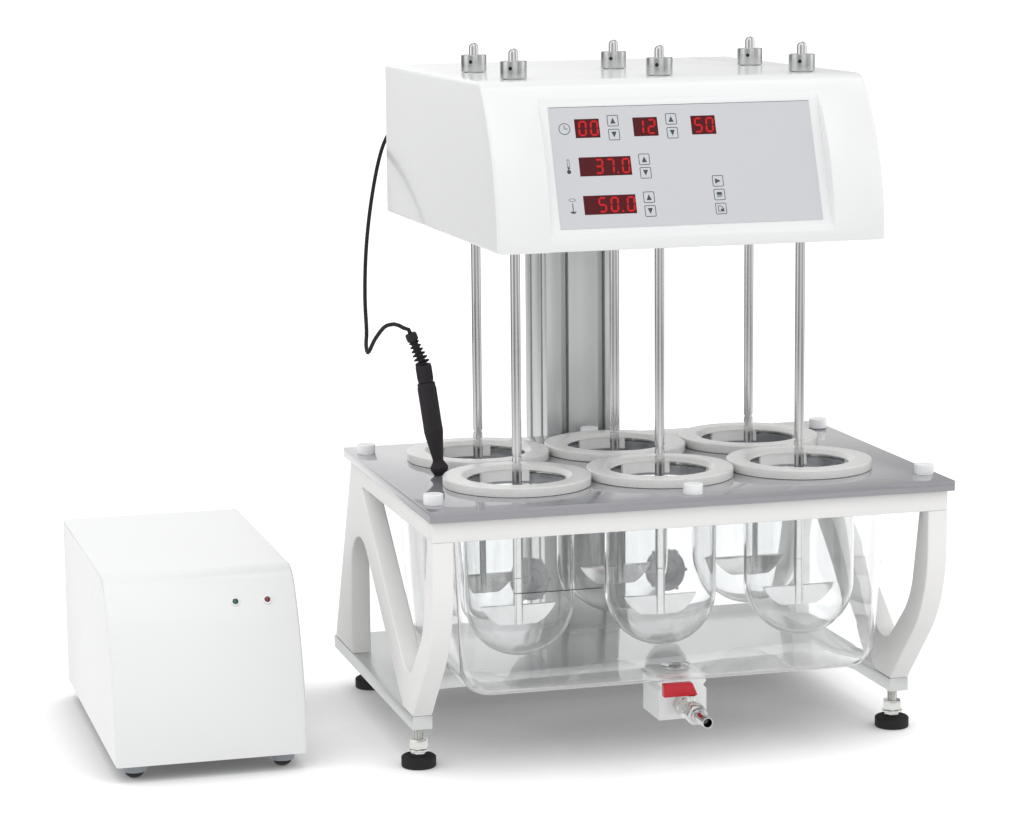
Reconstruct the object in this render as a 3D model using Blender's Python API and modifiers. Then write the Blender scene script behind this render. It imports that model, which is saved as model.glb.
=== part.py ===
"""Six-station tablet dissolution tester and its separate bath heater.

Runs in Blender 4.5. Lengths are metres, +Z is up, the floor is Z = 0 and the front faces -Y.
The tester is modelled round the middle of its vessel plate, the heater round the middle of its
own footprint, and two empties carry them so that the pair is centred on the origin.
"""

import math

import bmesh
import bpy
from mathutils import Matrix, Vector

# Fits and facets
SEAT_GAP = 0.0003
RUNNING_GAP = 0.00035
CUT_OVERRUN = 0.002
WELD_DISTANCE = 0.00005
VESSEL_SIDES = 24
SHAFT_SIDES = 12
COLLAR_SIDES = 16
FITTING_SIDES = 16
BALL_STEPS = 5
DOME_STEPS = 3
HEAD_CURVE_STEPS = 12
CORNER_STEPS = 4
ROUND_SHARE = 0.5
HEX_SIDES = 6
FILLET_EDGE_SHARE = 0.95

# Glass vessels: half a ball under a cylinder, hung by the rim
VESSEL_INNER_RADIUS = 0.0510
VESSEL_WALL = 0.0035
VESSEL_OUTER_RADIUS = VESSEL_INNER_RADIUS + VESSEL_WALL
VESSEL_DEPTH = 0.168
VESSEL_RIM_WIDTH = 0.0095
VESSEL_RIM_RADIUS = VESSEL_OUTER_RADIUS + VESSEL_RIM_WIDTH
VESSEL_RIM_HEIGHT = 0.0040

# Centering rings that cover the rims
RING_COVER = 0.0077
RING_RADIUS = VESSEL_RIM_RADIUS + RING_COVER
RING_HEIGHT = 0.0090
RING_EDGE = 0.0010
RING_LIP_GAP = 0.0005
RING_LIP_RADIUS = VESSEL_INNER_RADIUS - RING_LIP_GAP
RING_LIP_THICKNESS = 0.0025
RING_BEVEL_WIDTH = 0.0050
RING_BEVEL_DROP = 0.0030
TAB_COUNT = 3
TAB_SPAN_SHARE = 0.5
TAB_DEPTH = 0.007

# Stations: three across, two deep, as close as the rings allow
RING_SPACING = 0.0011
STATION_PITCH = 2 * RING_RADIUS + RING_SPACING
STATION_COLUMNS = 3
STATION_ROWS = 2
STATION_CENTER_Y = 0.005
OUTER_STATION_X = (STATION_COLUMNS - 1) * STATION_PITCH / 2
OUTER_STATION_Y = (STATION_ROWS - 1) * STATION_PITCH / 2

# Clear water bath round the vessels
BATH_WALL = 0.003
BATH_SIDE_ROOM = 0.021
BATH_END_ROOM = 0.01425
BATH_FLOOR_ROOM = 0.0263
BATH_HALF_WIDTH = OUTER_STATION_X + VESSEL_OUTER_RADIUS + BATH_SIDE_ROOM
BATH_HALF_DEPTH = OUTER_STATION_Y + VESSEL_OUTER_RADIUS + BATH_END_ROOM
BATH_DRAFT = math.radians(3.0)
BATH_CORNER = 0.030
BATH_FLOOR_ROUND = 0.024
BATH_LEDGE = 0.009
BATH_LIP = 0.012
PORT_OFFSET = 0.00125
PORT_X = STATION_PITCH / 2 + PORT_OFFSET
PORT_LIFT = 0.056
PORT_BODY_RADIUS = 0.0220
PORT_BODY_DEPTH = 0.014
PORT_RIM = 0.003
PORT_NECK_RADIUS = 0.0115
PORT_NUT_RADIUS = 0.0170
PORT_NUT_DEPTH = 0.007
PORT_BARB_RADIUS = 0.0060
PORT_BARB_RIDGE = 0.0012
PORT_BARB_LENGTH = 0.024
PORT_BARB_POINT = 0.008
PORT_BORE_RADIUS = 0.0035

# Rails across the frames
RAIL_HEIGHT = 0.020
FRONT_RAIL_DEPTH = 0.017
REAR_RAIL_DEPTH = 0.012
FRONT_LIP_ROOM = 0.010
REAR_LIP_ROOM = 0.0015
REAR_RAIL_FRONT = STATION_CENTER_Y + BATH_HALF_DEPTH + BATH_LIP + REAR_LIP_ROOM

# Moulded side frames, seen from the side
BATH_FRAME_ROOM = 0.016
FRAME_THICKNESS = 0.020
FRAME_INNER_X = BATH_HALF_WIDTH + BATH_FRAME_ROOM
FRAME_WIDTH = 2 * (FRAME_INNER_X + FRAME_THICKNESS)
FRAME_FRONT = BATH_HALF_DEPTH + BATH_LIP - STATION_CENTER_Y + FRONT_LIP_ROOM + FRONT_RAIL_DEPTH
FRAME_REAR_SETBACK = 0.0075
FRAME_REAR_TOP = REAR_RAIL_FRONT + FRAME_REAR_SETBACK
POST_FRONT_STEP = 0.009
POST_FRONT = FRAME_REAR_TOP + POST_FRONT_STEP
POST_HEEL = 0.007
LEG_TOP_DEPTH = 0.022
LEG_FOOT_SETBACK = 0.090
LEG_KNEE_HEIGHT = 0.098
LEG_KNEE_RADIUS = 0.138
LEG_INNER_KNEE_SETBACK = 0.0417
LEG_INNER_KNEE_HEIGHT = 0.0935
LEG_INNER_KNEE_RADIUS = 0.080
WINDOW_FOOT_SETBACK = 0.1073
WINDOW_FOOT_HEIGHT = 0.030
WINDOW_FOOT_RADIUS = 0.030
WINDOW_REAR_WALL = 0.043
WINDOW_CORNER_RADIUS = 0.003
DIAGONAL_WIDTH = 0.0367
ARCH_RADIUS = 0.045

# Vessel plate and the caps that hold it down
PLATE_SIDE_OVERHANG = 0.004
PLATE_FRONT_OVERHANG = 0.008
PLATE_WIDTH = FRAME_WIDTH + 2 * PLATE_SIDE_OVERHANG
PLATE_DEPTH = 2 * (FRAME_FRONT + PLATE_FRONT_OVERHANG)
PLATE_THICKNESS = 0.010
PLATE_EDGE = 0.001
CAP_RADIUS = 0.0094
CAP_HEIGHT = 0.0098
CAP_END_INSET = 0.043
CAP_SIDE_Y = PLATE_DEPTH / 2 - CAP_END_INSET
VESSEL_HOLE_GAP = 0.0015
VESSEL_HOLE_RADIUS = VESSEL_OUTER_RADIUS + VESSEL_HOLE_GAP

# Column: square profile with two T-slots in each side
COLUMN_ROOM = 0.002
COLUMN_SIDE = 0.080
COLUMN_FRONT = PLATE_DEPTH / 2 + COLUMN_ROOM
COLUMN_HEAD_ROOM = 0.0247
SLOT_PITCH = COLUMN_SIDE / 2
SLOT_MOUTH = 0.0082
SLOT_LIP = 0.0045
SLOT_DEPTH = 0.0125
SLOT_CORNER_WALL = 0.010
SLOT_WIDTH = SLOT_PITCH - 2 * SLOT_CORNER_WALL
SLOT_FLANK = 0.0055
SLOT_FLOOR = SLOT_WIDTH - 2 * SLOT_FLANK

# Base plate on its levelling feet
BASE_THICKNESS = 0.0135
BASE_FRONT = FRAME_FRONT - LEG_FOOT_SETBACK
BASE_REAR = COLUMN_FRONT + COLUMN_SIDE
BASE_TONGUE = 0.125
BASE_CUTOUT_REAR = COLUMN_FRONT - BASE_TONGUE
BASE_CUTOUT_RADIUS = 0.060
POST_REAR_FOOT = BASE_REAR - POST_HEEL
FOOT_HEIGHT = 0.0405
FOOT_PAD_RADIUS = 0.0170
FOOT_PAD_HEIGHT = 0.0115
FOOT_PAD_ROUND = 0.0025
FOOT_STUD_RADIUS = 0.0050
FOOT_STUD_GRIP = 0.008
FOOT_NECK_FLATS = 0.0136
FOOT_NECK_HEIGHT = 0.0043
FOOT_WASHER_RADIUS = 0.0103
FOOT_WASHER_HEIGHT = 0.0020
LOCK_NUT_FLATS = 0.0170
LOCK_NUT_HEIGHT = 0.0100
FOOT_SETBACK = 0.0170
REAR_FOOT_INSET = 0.034
REAR_FOOT_SETBACK = 0.025

# Paddles: the shaft reaches through the head, the blade is widest at its top
SHAFT_RADIUS = 0.00475
SHAFT_TOP_REACH = 0.0117
SHAFT_JOINT_HEIGHT = 0.0465
SHAFT_JOINT_DEPTH = 0.0004
BLADE_CHORD = 0.075
BLADE_FOOT_CHORD = 0.0365
BLADE_HEIGHT = 0.0195
BLADE_THICKNESS = 0.004
BLADE_CLEARANCE = 0.026

# Shaft collars on top of the head
COLLAR_RADIUS = 0.0126
COLLAR_HEIGHT = 0.0165
COLLAR_EDGE = 0.0006
SET_SCREW_RADIUS = 0.0017
SET_SCREW_DEPTH = 0.0025
SET_SCREW_HEIGHT = 0.0095

# Drive head
HEAD_SIDE_ROOM = 0.0455
HEAD_NOSE = 0.10375
HEAD_WIDTH = 2 * (OUTER_STATION_X + HEAD_SIDE_ROOM)
HEAD_FRONT = OUTER_STATION_Y - STATION_CENTER_Y + HEAD_NOSE
HEAD_HEIGHT = 0.154
HEAD_BOTTOM = 0.506
HEAD_WALL = 0.003
HEAD_CURVE_RADIUS = 0.225
HEAD_BROW_RADIUS = 0.022
HEAD_REAR_CLEARANCE = 0.0005
PANEL_SIDE_ROOM = 0.0615
PANEL_BROW_ROOM = 0.0208
PANEL_LOW = 0.021
PANEL_THICKNESS = 0.0008
RECESS_MARGIN = 0.0105
RECESS_DEPTH = 0.0012
PANEL_WIDTH = HEAD_WIDTH - 2 * PANEL_SIDE_ROOM

# Chassis, spindles and belt inside the head
CHASSIS_THICKNESS = 0.004
CHASSIS_INSET = 0.003
SPINDLE_RADIUS = 0.0090
SPINDLE_SKIRT = 0.0010
SPINDLE_HOLE_GAP = 0.0010
SPINDLE_HOLE_RADIUS = SPINDLE_RADIUS + SPINDLE_HOLE_GAP
BEARING_WALL = 0.007
BEARING_RADIUS = SPINDLE_RADIUS + BEARING_WALL
BEARING_HEIGHT = 0.060
BRACKET_HEIGHT = 0.100
BRACKET_THICKNESS = 0.008
PULLEY_RADIUS = 0.026
PULLEY_FLANGE = 0.0025
PULLEY_FLANGE_HEIGHT = 0.0015
BELT_WIDTH = 0.009
BELT_THICKNESS = 0.0015
BELT_STEPS = 6
PULLEY_RATIO = 2
MOTOR_ROOM = 0.006
MOTOR_SIDE = 0.042
MOTOR_X = HEAD_WIDTH / 2 - HEAD_WALL - MOTOR_ROOM - MOTOR_SIDE / 2
MOTOR_CORNER = 0.005
MOTOR_SHAFT_RADIUS = 0.0025
MOTOR_HUB_RADIUS = 0.0060
MOTOR_HUB_HEIGHT = 0.0060
MOTOR_PILOT_RADIUS = 0.011
MOTOR_PILOT_HEIGHT = 0.002
MOTOR_TOP_ROOM = 0.002
MOTOR_HEIGHT = BEARING_HEIGHT - MOTOR_PILOT_HEIGHT - MOTOR_TOP_ROOM

# Drain under the bath
DRAIN_X = 0.0145
DRAIN_Y = -0.0700
DRAIN_BLOCK_WIDTH = 0.049
DRAIN_BLOCK_DEPTH = 0.050
DRAIN_BLOCK_HEIGHT = 0.0417
DRAIN_BLOCK_BOTTOM = 0.033
DRAIN_LIP_HEIGHT = 0.009
DRAIN_GROOVE_DEPTH = 0.0035
DRAIN_SEAT_RADIUS = 0.0080
DRAIN_SEAT_DEPTH = 0.012
DRAIN_FLANGE_RADIUS = 0.0143
DRAIN_FLANGE_HEIGHT = 0.0030
DRAIN_FLANGE_SLOPE = 0.0030
DRAIN_FLANGE_DISH = 0.0010
DRAIN_FLANGE_RIM = 0.0015
DRAIN_BORE_RADIUS = 0.0060
VALVE_THREAD_RADIUS = 0.0065
VALVE_THREAD_LENGTH = 0.008
VALVE_FLATS = 0.0190
VALVE_HEX_LENGTH = 0.012
VALVE_BALL_RADIUS = 0.0085
VALVE_BODY_LENGTH = 0.037
OUTLET_HEX_LENGTH = 0.006
OUTLET_HEX_SETBACK = 0.001
STEM_SETBACK = 0.025
STEM_RADIUS = 0.0045
STEM_DROP = 0.0115
STEM_RISE = 0.0155
LEVER_LENGTH = 0.029
LEVER_HEEL = 0.006
LEVER_SLOPE = 0.0055
LEVER_HEIGHT = 0.0132
LEVER_THICKNESS = 0.008
LEVER_EDGE = 0.001
NOZZLE_LENGTH = 0.036
NOZZLE_HEX_LENGTH = 0.007
NOZZLE_WALL = 0.0011
NOZZLE_BORE_RADIUS = 0.0042
NOZZLE_RADIUS = NOZZLE_BORE_RADIUS + NOZZLE_WALL

# Temperature probe: hand grip, ribbed strain relief, steel sensor
PROBE_SIDE_ROOM = 0.0595
PROBE_SETBACK = 0.007
PROBE_X = -(OUTER_STATION_X + PROBE_SIDE_ROOM)
PROBE_Y = STATION_CENTER_Y - PROBE_SETBACK
PROBE_LEAN = math.radians(8.2)
PROBE_HOLE_RADIUS = 0.0045
SENSOR_RADIUS = 0.0025
SENSOR_DEPTH = 0.140
GRIP_FOOT_RADIUS = 0.0059
GRIP_GUARD_RADIUS = 0.0089
GRIP_GUARD_HEIGHT = 0.0070
GRIP_NECK_HEIGHT = 0.0140
GRIP_NECK_RADIUS = 0.0050
GRIP_BELLY_HEIGHT = 0.043
GRIP_BELLY_RADIUS = 0.0094
GRIP_TOP_HEIGHT = 0.092
GRIP_TOP_RADIUS = 0.0087
GRIP_SOCKET_RADIUS = 0.0077
GRIP_LENGTH = 0.111
GRIP_GROOVE = 0.0008
RELIEF_LEAN = math.radians(22.0)
RELIEF_LENGTH = 0.033
RELIEF_RING_LENGTH = 0.0075
RELIEF_RING_RADIUS = 0.0058
RELIEF_CORE_RADIUS = 0.0035
RELIEF_BASE_RADIUS = 0.0075
RELIEF_TIP_RADIUS = 0.0053
RELIEF_RIBS = 6

# Cord and the gland that takes it into the head
CORD_RADIUS = 0.0020
CORD_POINT_SPACING = 0.0085
CORD_LEAD = 0.0040
CORD_DENSITY = 4
GLAND_INSET = 0.030
GLAND_LIFT = 0.091
GLAND_X = -(HEAD_WIDTH / 2 - GLAND_INSET)
GLAND_HEIGHT = HEAD_BOTTOM + GLAND_LIFT
GLAND_LENGTH = 0.018
GLAND_RADIUS = 0.0080
GLAND_CAP_RADIUS = 0.0064
GLAND_THREAD_RADIUS = 0.0040
GLAND_TAPER = 0.0040
GLAND_NUT_LENGTH = 0.006

# Heater box beside the tester
HEATER_WIDTH = 0.1866
HEATER_DEPTH = 0.349
HEATER_GAP = 0.0914
HEATER_SETBACK = 0.1356
HEATER_LIFT = 0.016
HEATER_HEIGHT = 0.1745
HEATER_CURVE_START = 0.014
HEATER_CURVE_RADIUS = 0.260
HEATER_BROW_RADIUS = 0.032
HEATER_WALL = 0.002
HEATER_CURVE_STEPS = 9
PAN_THICKNESS = 0.003
HEATER_FOOT_INSET = 0.021
HEATER_FOOT_TOP_RADIUS = 0.0125
HEATER_FOOT_LOW_RADIUS = 0.0100
HEATER_FOOT_BALL_RADIUS = 0.0080
HEATER_FOOT_TIP_RADIUS = 0.0040
HEATER_FOOT_CONE_HEIGHT = 0.009
LAMP_SHARES = (0.675, 0.843)
LAMP_BROW_ROOM = 0.0297
LAMP_RADIUS = 0.0035
LAMP_HEIGHT = 0.0025
LAMP_SINK = 0.001

# Heights that follow from the stack
BASE_BOTTOM = FOOT_HEIGHT
BASE_TOP = BASE_BOTTOM + BASE_THICKNESS
FRAME_BOTTOM = BASE_TOP + SEAT_GAP
BATH_BOTTOM = DRAIN_BLOCK_BOTTOM + DRAIN_BLOCK_HEIGHT + SEAT_GAP
VESSEL_BOTTOM = BATH_BOTTOM + BATH_WALL + BATH_FLOOR_ROOM
RIM_BOTTOM = VESSEL_BOTTOM + VESSEL_DEPTH
PLATE_TOP = RIM_BOTTOM - SEAT_GAP
PLATE_BOTTOM = PLATE_TOP - PLATE_THICKNESS
FRAME_TOP = PLATE_BOTTOM - SEAT_GAP
BATH_TOP = FRAME_TOP - BATH_WALL
PORT_HEIGHT = BATH_BOTTOM + PORT_LIFT
STEM_TOP = BATH_BOTTOM - STEM_DROP
VALVE_HEIGHT = STEM_TOP - STEM_RISE
BLADE_BOTTOM = VESSEL_BOTTOM + VESSEL_WALL + BLADE_CLEARANCE
HEAD_TOP = HEAD_BOTTOM + HEAD_HEIGHT
HEAD_REAR = COLUMN_FRONT + COLUMN_SIDE + HEAD_REAR_CLEARANCE + HEAD_WALL
COLUMN_BOTTOM = BASE_TOP + SEAT_GAP
COLUMN_TOP = HEAD_TOP - HEAD_WALL - COLUMN_HEAD_ROOM
CHASSIS_BOTTOM = HEAD_BOTTOM + CHASSIS_INSET
CHASSIS_TOP = CHASSIS_BOTTOM + CHASSIS_THICKNESS
BEARING_TOP = CHASSIS_TOP + BEARING_HEIGHT
MOTOR_TOP = CHASSIS_TOP + SEAT_GAP + MOTOR_HEIGHT
PULLEY_BOTTOM = BEARING_TOP + SEAT_GAP
PULLEY_HEIGHT = BELT_WIDTH + 2 * (PULLEY_FLANGE_HEIGHT + SEAT_GAP)
BELT_BOTTOM = PULLEY_BOTTOM + PULLEY_FLANGE_HEIGHT + SEAT_GAP
BELT_PITCH_OFFSET = SEAT_GAP + BELT_THICKNESS / 2
MOTOR_PULLEY_RADIUS = (PULLEY_RADIUS + BELT_PITCH_OFFSET) / PULLEY_RATIO - BELT_PITCH_OFFSET
SPINDLE_BOTTOM = CHASSIS_BOTTOM - SPINDLE_SKIRT
SPINDLE_TOP = HEAD_TOP + SEAT_GAP
COLLAR_BOTTOM = SPINDLE_TOP + SEAT_GAP
COLLAR_TOP = COLLAR_BOTTOM + COLLAR_HEIGHT
SHAFT_TOP = COLLAR_TOP + SHAFT_TOP_REACH

# Angles at which the long front curves run into their brows
HEAD_TOUCH = math.asin((HEAD_HEIGHT - HEAD_BROW_RADIUS) / (HEAD_CURVE_RADIUS - HEAD_BROW_RADIUS))
PANEL_HIGH = HEAD_TOUCH * HEAD_CURVE_RADIUS - PANEL_BROW_ROOM
HEATER_TOUCH = math.asin(
    (HEATER_HEIGHT - HEATER_BROW_RADIUS - HEATER_CURVE_START) / (HEATER_CURVE_RADIUS - HEATER_BROW_RADIUS)
)
LAMP_ANGLE = HEATER_TOUCH - LAMP_BROW_ROOM / HEATER_CURVE_RADIUS

# Where the pair stands
SET_RIGHT = max(PLATE_WIDTH / 2, FRAME_WIDTH / 2 - FRAME_THICKNESS / 2 + FOOT_PAD_RADIUS)
SET_LEFT = -(PLATE_WIDTH / 2 + HEATER_GAP + HEATER_WIDTH)
SET_FRONT = -PLATE_DEPTH / 2
HEATER_FRONT = SET_FRONT + HEATER_SETBACK
SET_REAR = max(HEATER_FRONT + HEATER_DEPTH, HEAD_REAR)
TESTER_PLACE = Vector((-(SET_LEFT + SET_RIGHT) / 2, -(SET_FRONT + SET_REAR) / 2, 0))
HEATER_PLACE = TESTER_PLACE + Vector((SET_LEFT + HEATER_WIDTH / 2, HEATER_FRONT, 0))

# The cord's route from the probe to the gland, points chosen by hand, from the middle of the tester
CORD_ROUTE = (
    (-0.2364, 0.004, 0.4180),
    (-0.2391, 0.012, 0.4197),
    (-0.2420, 0.020, 0.4203),
    (-0.2446, 0.028, 0.4192),
    (-0.2476, 0.045, 0.4140),
    (-0.2510, 0.070, 0.3990),
    (-0.2510, 0.100, 0.3820),
    (-0.2470, 0.127, 0.3860),
    (-0.2410, 0.150, 0.3970),
    (-0.2330, 0.190, 0.4270),
    (-0.2230, 0.226, 0.4680),
    (-0.2120, 0.251, 0.5110),
    (-0.1980, 0.275, 0.5530),
    (-0.1850, 0.291, 0.5800),
    (-0.1710, 0.3000, 0.5930),
)


def clear_scene():
    for thing in list(bpy.data.objects):
        bpy.data.objects.remove(thing, do_unlink=True)
    for group in list(bpy.data.collections):
        bpy.data.collections.remove(group)


clear_scene()
PARTS = bpy.data.collections.new("tablet_dissolution_tester")
CUTTERS = bpy.data.collections.new("cutters")
bpy.context.scene.collection.children.link(PARTS)
bpy.context.scene.collection.children.link(CUTTERS)


def make_material(name, color, roughness, metallic=0.0):
    material = bpy.data.materials.new(name)
    material.use_nodes = True
    shader = material.node_tree.nodes["Principled BSDF"]
    shader.inputs["Base Color"].default_value = (*color, 1.0)
    shader.inputs["Roughness"].default_value = roughness
    shader.inputs["Metallic"].default_value = metallic
    return material


GLOSS_WHITE = make_material("gloss_white", (0.87, 0.88, 0.89), 0.15)
FRAME_WHITE = make_material("frame_white", (0.82, 0.81, 0.78), 0.45)
PLATE_GREY = make_material("plate_grey", (0.36, 0.36, 0.39), 0.10)
ANODISED = make_material("anodised_aluminium", (0.62, 0.63, 0.64), 0.35, 0.9)
STEEL = make_material("satin_steel", (0.66, 0.66, 0.65), 0.28, 1.0)
ZINC = make_material("zinc_plate", (0.72, 0.73, 0.70), 0.25, 1.0)
GLASS = make_material("clear_glass", (0.93, 0.96, 0.96), 0.02)
CLEAR_PLASTIC = make_material("clear_plastic", (0.90, 0.93, 0.95), 0.05)
NATURAL_PLASTIC = make_material("natural_plastic", (0.80, 0.80, 0.76), 0.35)
WHITE_PLASTIC = make_material("white_plastic", (0.86, 0.86, 0.85), 0.40)
RED_PLASTIC = make_material("red_plastic", (0.60, 0.01, 0.03), 0.35)
GREY_PLASTIC = make_material("grey_plastic", (0.22, 0.24, 0.26), 0.40)
BLACK_PLASTIC = make_material("black_plastic", (0.015, 0.013, 0.014), 0.40)
BLACK_RUBBER = make_material("black_rubber", (0.012, 0.012, 0.013), 0.55)
FOIL_GREY = make_material("foil_grey", (0.62, 0.65, 0.68), 0.30)


def make_empty(name, place):
    empty = bpy.data.objects.new(name, None)
    empty.location = place
    PARTS.objects.link(empty)
    return empty


TESTER = make_empty("tester_middle", TESTER_PLACE)
HEATER = make_empty("heater_middle", HEATER_PLACE)


def add_object(name, data, material=None, place=(0, 0, 0), turn=(0, 0, 0), carrier=TESTER):
    """Links a finished part, or a cutter when it has no material, and hangs it on its empty."""
    thing = bpy.data.objects.new(name, data)
    thing.location = place
    thing.rotation_euler = turn
    thing.parent = carrier
    if material is None:
        CUTTERS.objects.link(thing)
        thing.hide_render = True
        thing.display_type = "WIRE"
    else:
        PARTS.objects.link(thing)
        data.materials.append(material)
    return thing


def mesh_from(name, bm):
    mesh = bpy.data.meshes.new(name)
    bmesh.ops.recalc_face_normals(bm, faces=bm.faces)
    bm.to_mesh(mesh)
    bm.free()
    return mesh


def turned(name, profile, sides, material=None, closed=False, **where):
    """A turned shape: (radius, height) points down the outer side, and back up the bore if closed."""
    bm = bmesh.new()
    points = [bm.verts.new((radius, 0, height)) for radius, height in profile]
    for first, second in zip(points, points[1:]):
        bm.edges.new((first, second))
    if closed:
        bm.edges.new((points[-1], points[0]))
    mesh = bpy.data.meshes.new(name)
    bm.to_mesh(mesh)
    bm.free()
    thing = add_object(name, mesh, material, **where)
    screw = thing.modifiers.new("turn", "SCREW")
    screw.steps = sides
    screw.render_steps = sides
    screw.use_merge_vertices = True
    screw.merge_threshold = WELD_DISTANCE
    screw.use_smooth_shade = True
    return thing


def outline_curve(name, loops, thickness):
    """A flat 2D curve, filled and as thick as asked, centred on its own plane."""
    curve = bpy.data.curves.new(name, "CURVE")
    curve.dimensions = "2D"
    curve.fill_mode = "BOTH"
    curve.extrude = thickness / 2
    for loop in loops:
        spline = curve.splines.new("POLY")
        spline.points.add(len(loop) - 1)
        for point, (across, up) in zip(spline.points, loop):
            point.co = (across, up, 0, 1)
        spline.use_cyclic_u = True
    return curve


def extruded(name, loops, thickness, material=None, **where):
    """A welded mesh made from a filled outline, so that it can be cut or joined."""
    curve = outline_curve(name, loops, thickness)
    draft = bpy.data.objects.new(name + "_outline", curve)
    bpy.context.scene.collection.objects.link(draft)
    bpy.context.view_layer.update()
    evaluated = draft.evaluated_get(bpy.context.evaluated_depsgraph_get())
    mesh = bpy.data.meshes.new_from_object(evaluated)
    bpy.data.objects.remove(draft)
    mesh.name = name
    mesh.materials.clear()
    bm = bmesh.new()
    bm.from_mesh(mesh)
    bmesh.ops.remove_doubles(bm, verts=bm.verts, dist=WELD_DISTANCE)
    bmesh.ops.recalc_face_normals(bm, faces=bm.faces)
    bm.to_mesh(mesh)
    bm.free()
    return add_object(name, mesh, material, **where)


# An outline drawn in local X and Y stands in the YZ plane, or in the XZ plane, after these turns
SIDE_VIEW = (math.radians(90), 0, math.radians(90))
FRONT_VIEW = (math.radians(90), 0, 0)


def box_mesh(name, low, high):
    bm = bmesh.new()
    bmesh.ops.create_cube(bm, size=1.0)
    low, high = Vector(low), Vector(high)
    bmesh.ops.scale(bm, vec=high - low, verts=bm.verts)
    bmesh.ops.translate(bm, vec=(high + low) / 2, verts=bm.verts)
    return mesh_from(name, bm)


def box(name, low, high, material=None, **where):
    return add_object(name, box_mesh(name, low, high), material, **where)


def posts(name, centers, radius, low, high, sides, material=None, top_radius=None, **where):
    """Upright cylinders or cones at several places, in one mesh."""
    bm = bmesh.new()
    for across, back in centers:
        made = bmesh.ops.create_cone(
            bm, cap_ends=True, segments=sides, radius1=radius,
            radius2=radius if top_radius is None else top_radius, depth=high - low,
        )
        bmesh.ops.rotate(bm, verts=made["verts"], matrix=Matrix.Rotation(math.pi / sides, 3, "Z"))
        bmesh.ops.translate(bm, verts=made["verts"], vec=(across, back, (high + low) / 2))
    return add_object(name, mesh_from(name, bm), material, **where)


def combine(thing, other, operation):
    modifier = thing.modifiers.new(other.name, "BOOLEAN")
    modifier.operation = operation
    modifier.solver = "EXACT"
    modifier.object = other
    return thing


def cut(thing, *others):
    for other in others:
        combine(thing, other, "DIFFERENCE")
    return thing


def join(thing, *others):
    for other in others:
        combine(thing, other, "UNION")
    return thing


def bevel(thing, width, segments=1, angle=math.radians(40)):
    modifier = thing.modifiers.new("edges", "BEVEL")
    modifier.width = width
    modifier.segments = segments
    modifier.limit_method = "ANGLE"
    modifier.angle_limit = angle
    return thing


def rounded(corners, steps=CORNER_STEPS):
    """Points of a closed outline whose corners, given as (x, y, radius), are rounded by arcs.

    An arc never takes more than its share of the shorter edge that it joins.
    """
    points = []
    count = len(corners)
    for index, (x, y, radius) in enumerate(corners):
        here = Vector((x, y))
        if radius <= 0:
            points.append((x, y))
            continue
        back = Vector(corners[index - 1][:2]) - here
        ahead = Vector(corners[(index + 1) % count][:2]) - here
        half = back.angle(ahead) / 2
        room = FILLET_EDGE_SHARE * min(back.length, ahead.length)
        radius = min(radius, room * math.tan(half))
        back.normalize()
        ahead.normalize()
        middle = here + (back + ahead).normalized() * (radius / math.sin(half))
        first = here + back * (radius / math.tan(half)) - middle
        turn = first.angle_signed(here + ahead * (radius / math.tan(half)) - middle)
        for step in range(steps + 1):
            spoke = Matrix.Rotation(-turn * step / steps, 2) @ first
            points.append(tuple(middle + spoke))
    return points


def polygon(radius, sides, start=0.0):
    angles = [start + 2 * math.pi * step / sides for step in range(sides)]
    return [(radius * math.cos(angle), radius * math.sin(angle)) for angle in angles]


def hexagon(flats):
    return polygon(flats / 2 / math.cos(math.pi / HEX_SIDES), HEX_SIDES)


def stations():
    """Number, X and Y of each station: the front row first, left to right."""
    found = []
    for row in range(STATION_ROWS):
        for column in range(STATION_COLUMNS):
            x = (column - (STATION_COLUMNS - 1) / 2) * STATION_PITCH
            y = STATION_CENTER_Y + (row - (STATION_ROWS - 1) / 2) * STATION_PITCH
            found.append((row * STATION_COLUMNS + column + 1, x, y))
    return found


def station_places():
    return [(x, y) for number, x, y in stations()]


def foot_places():
    front_x = FRAME_WIDTH / 2 - FRAME_THICKNESS / 2
    front_y = FOOT_SETBACK - BASE_FRONT
    rear_x = FRAME_WIDTH / 2 - REAR_FOOT_INSET
    rear_y = BASE_REAR - REAR_FOOT_SETBACK
    return {
        "front_left": (-front_x, front_y),
        "front_right": (front_x, front_y),
        "rear_left": (-rear_x, rear_y),
        "rear_right": (rear_x, rear_y),
    }


def build_base_plate():
    arm = FRAME_WIDTH / 2 - FRAME_THICKNESS
    side = FRAME_WIDTH / 2
    outline = rounded([
        (-side, -BASE_FRONT, 0), (-arm, -BASE_FRONT, 0),
        (-arm, BASE_CUTOUT_REAR, BASE_CUTOUT_RADIUS), (arm, BASE_CUTOUT_REAR, BASE_CUTOUT_RADIUS),
        (arm, -BASE_FRONT, 0), (side, -BASE_FRONT, 0), (side, BASE_REAR, 0), (-side, BASE_REAR, 0),
    ])
    middle = (0, 0, (BASE_BOTTOM + BASE_TOP) / 2)
    plate = extruded("base_plate", [outline], BASE_THICKNESS, ANODISED, place=middle)
    holes = posts(
        "foot_holes", foot_places().values(), FOOT_STUD_RADIUS + SEAT_GAP,
        BASE_BOTTOM - CUT_OVERRUN, BASE_BOTTOM + FOOT_STUD_GRIP + SEAT_GAP, SHAFT_SIDES,
    )
    cut(plate, holes)


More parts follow.
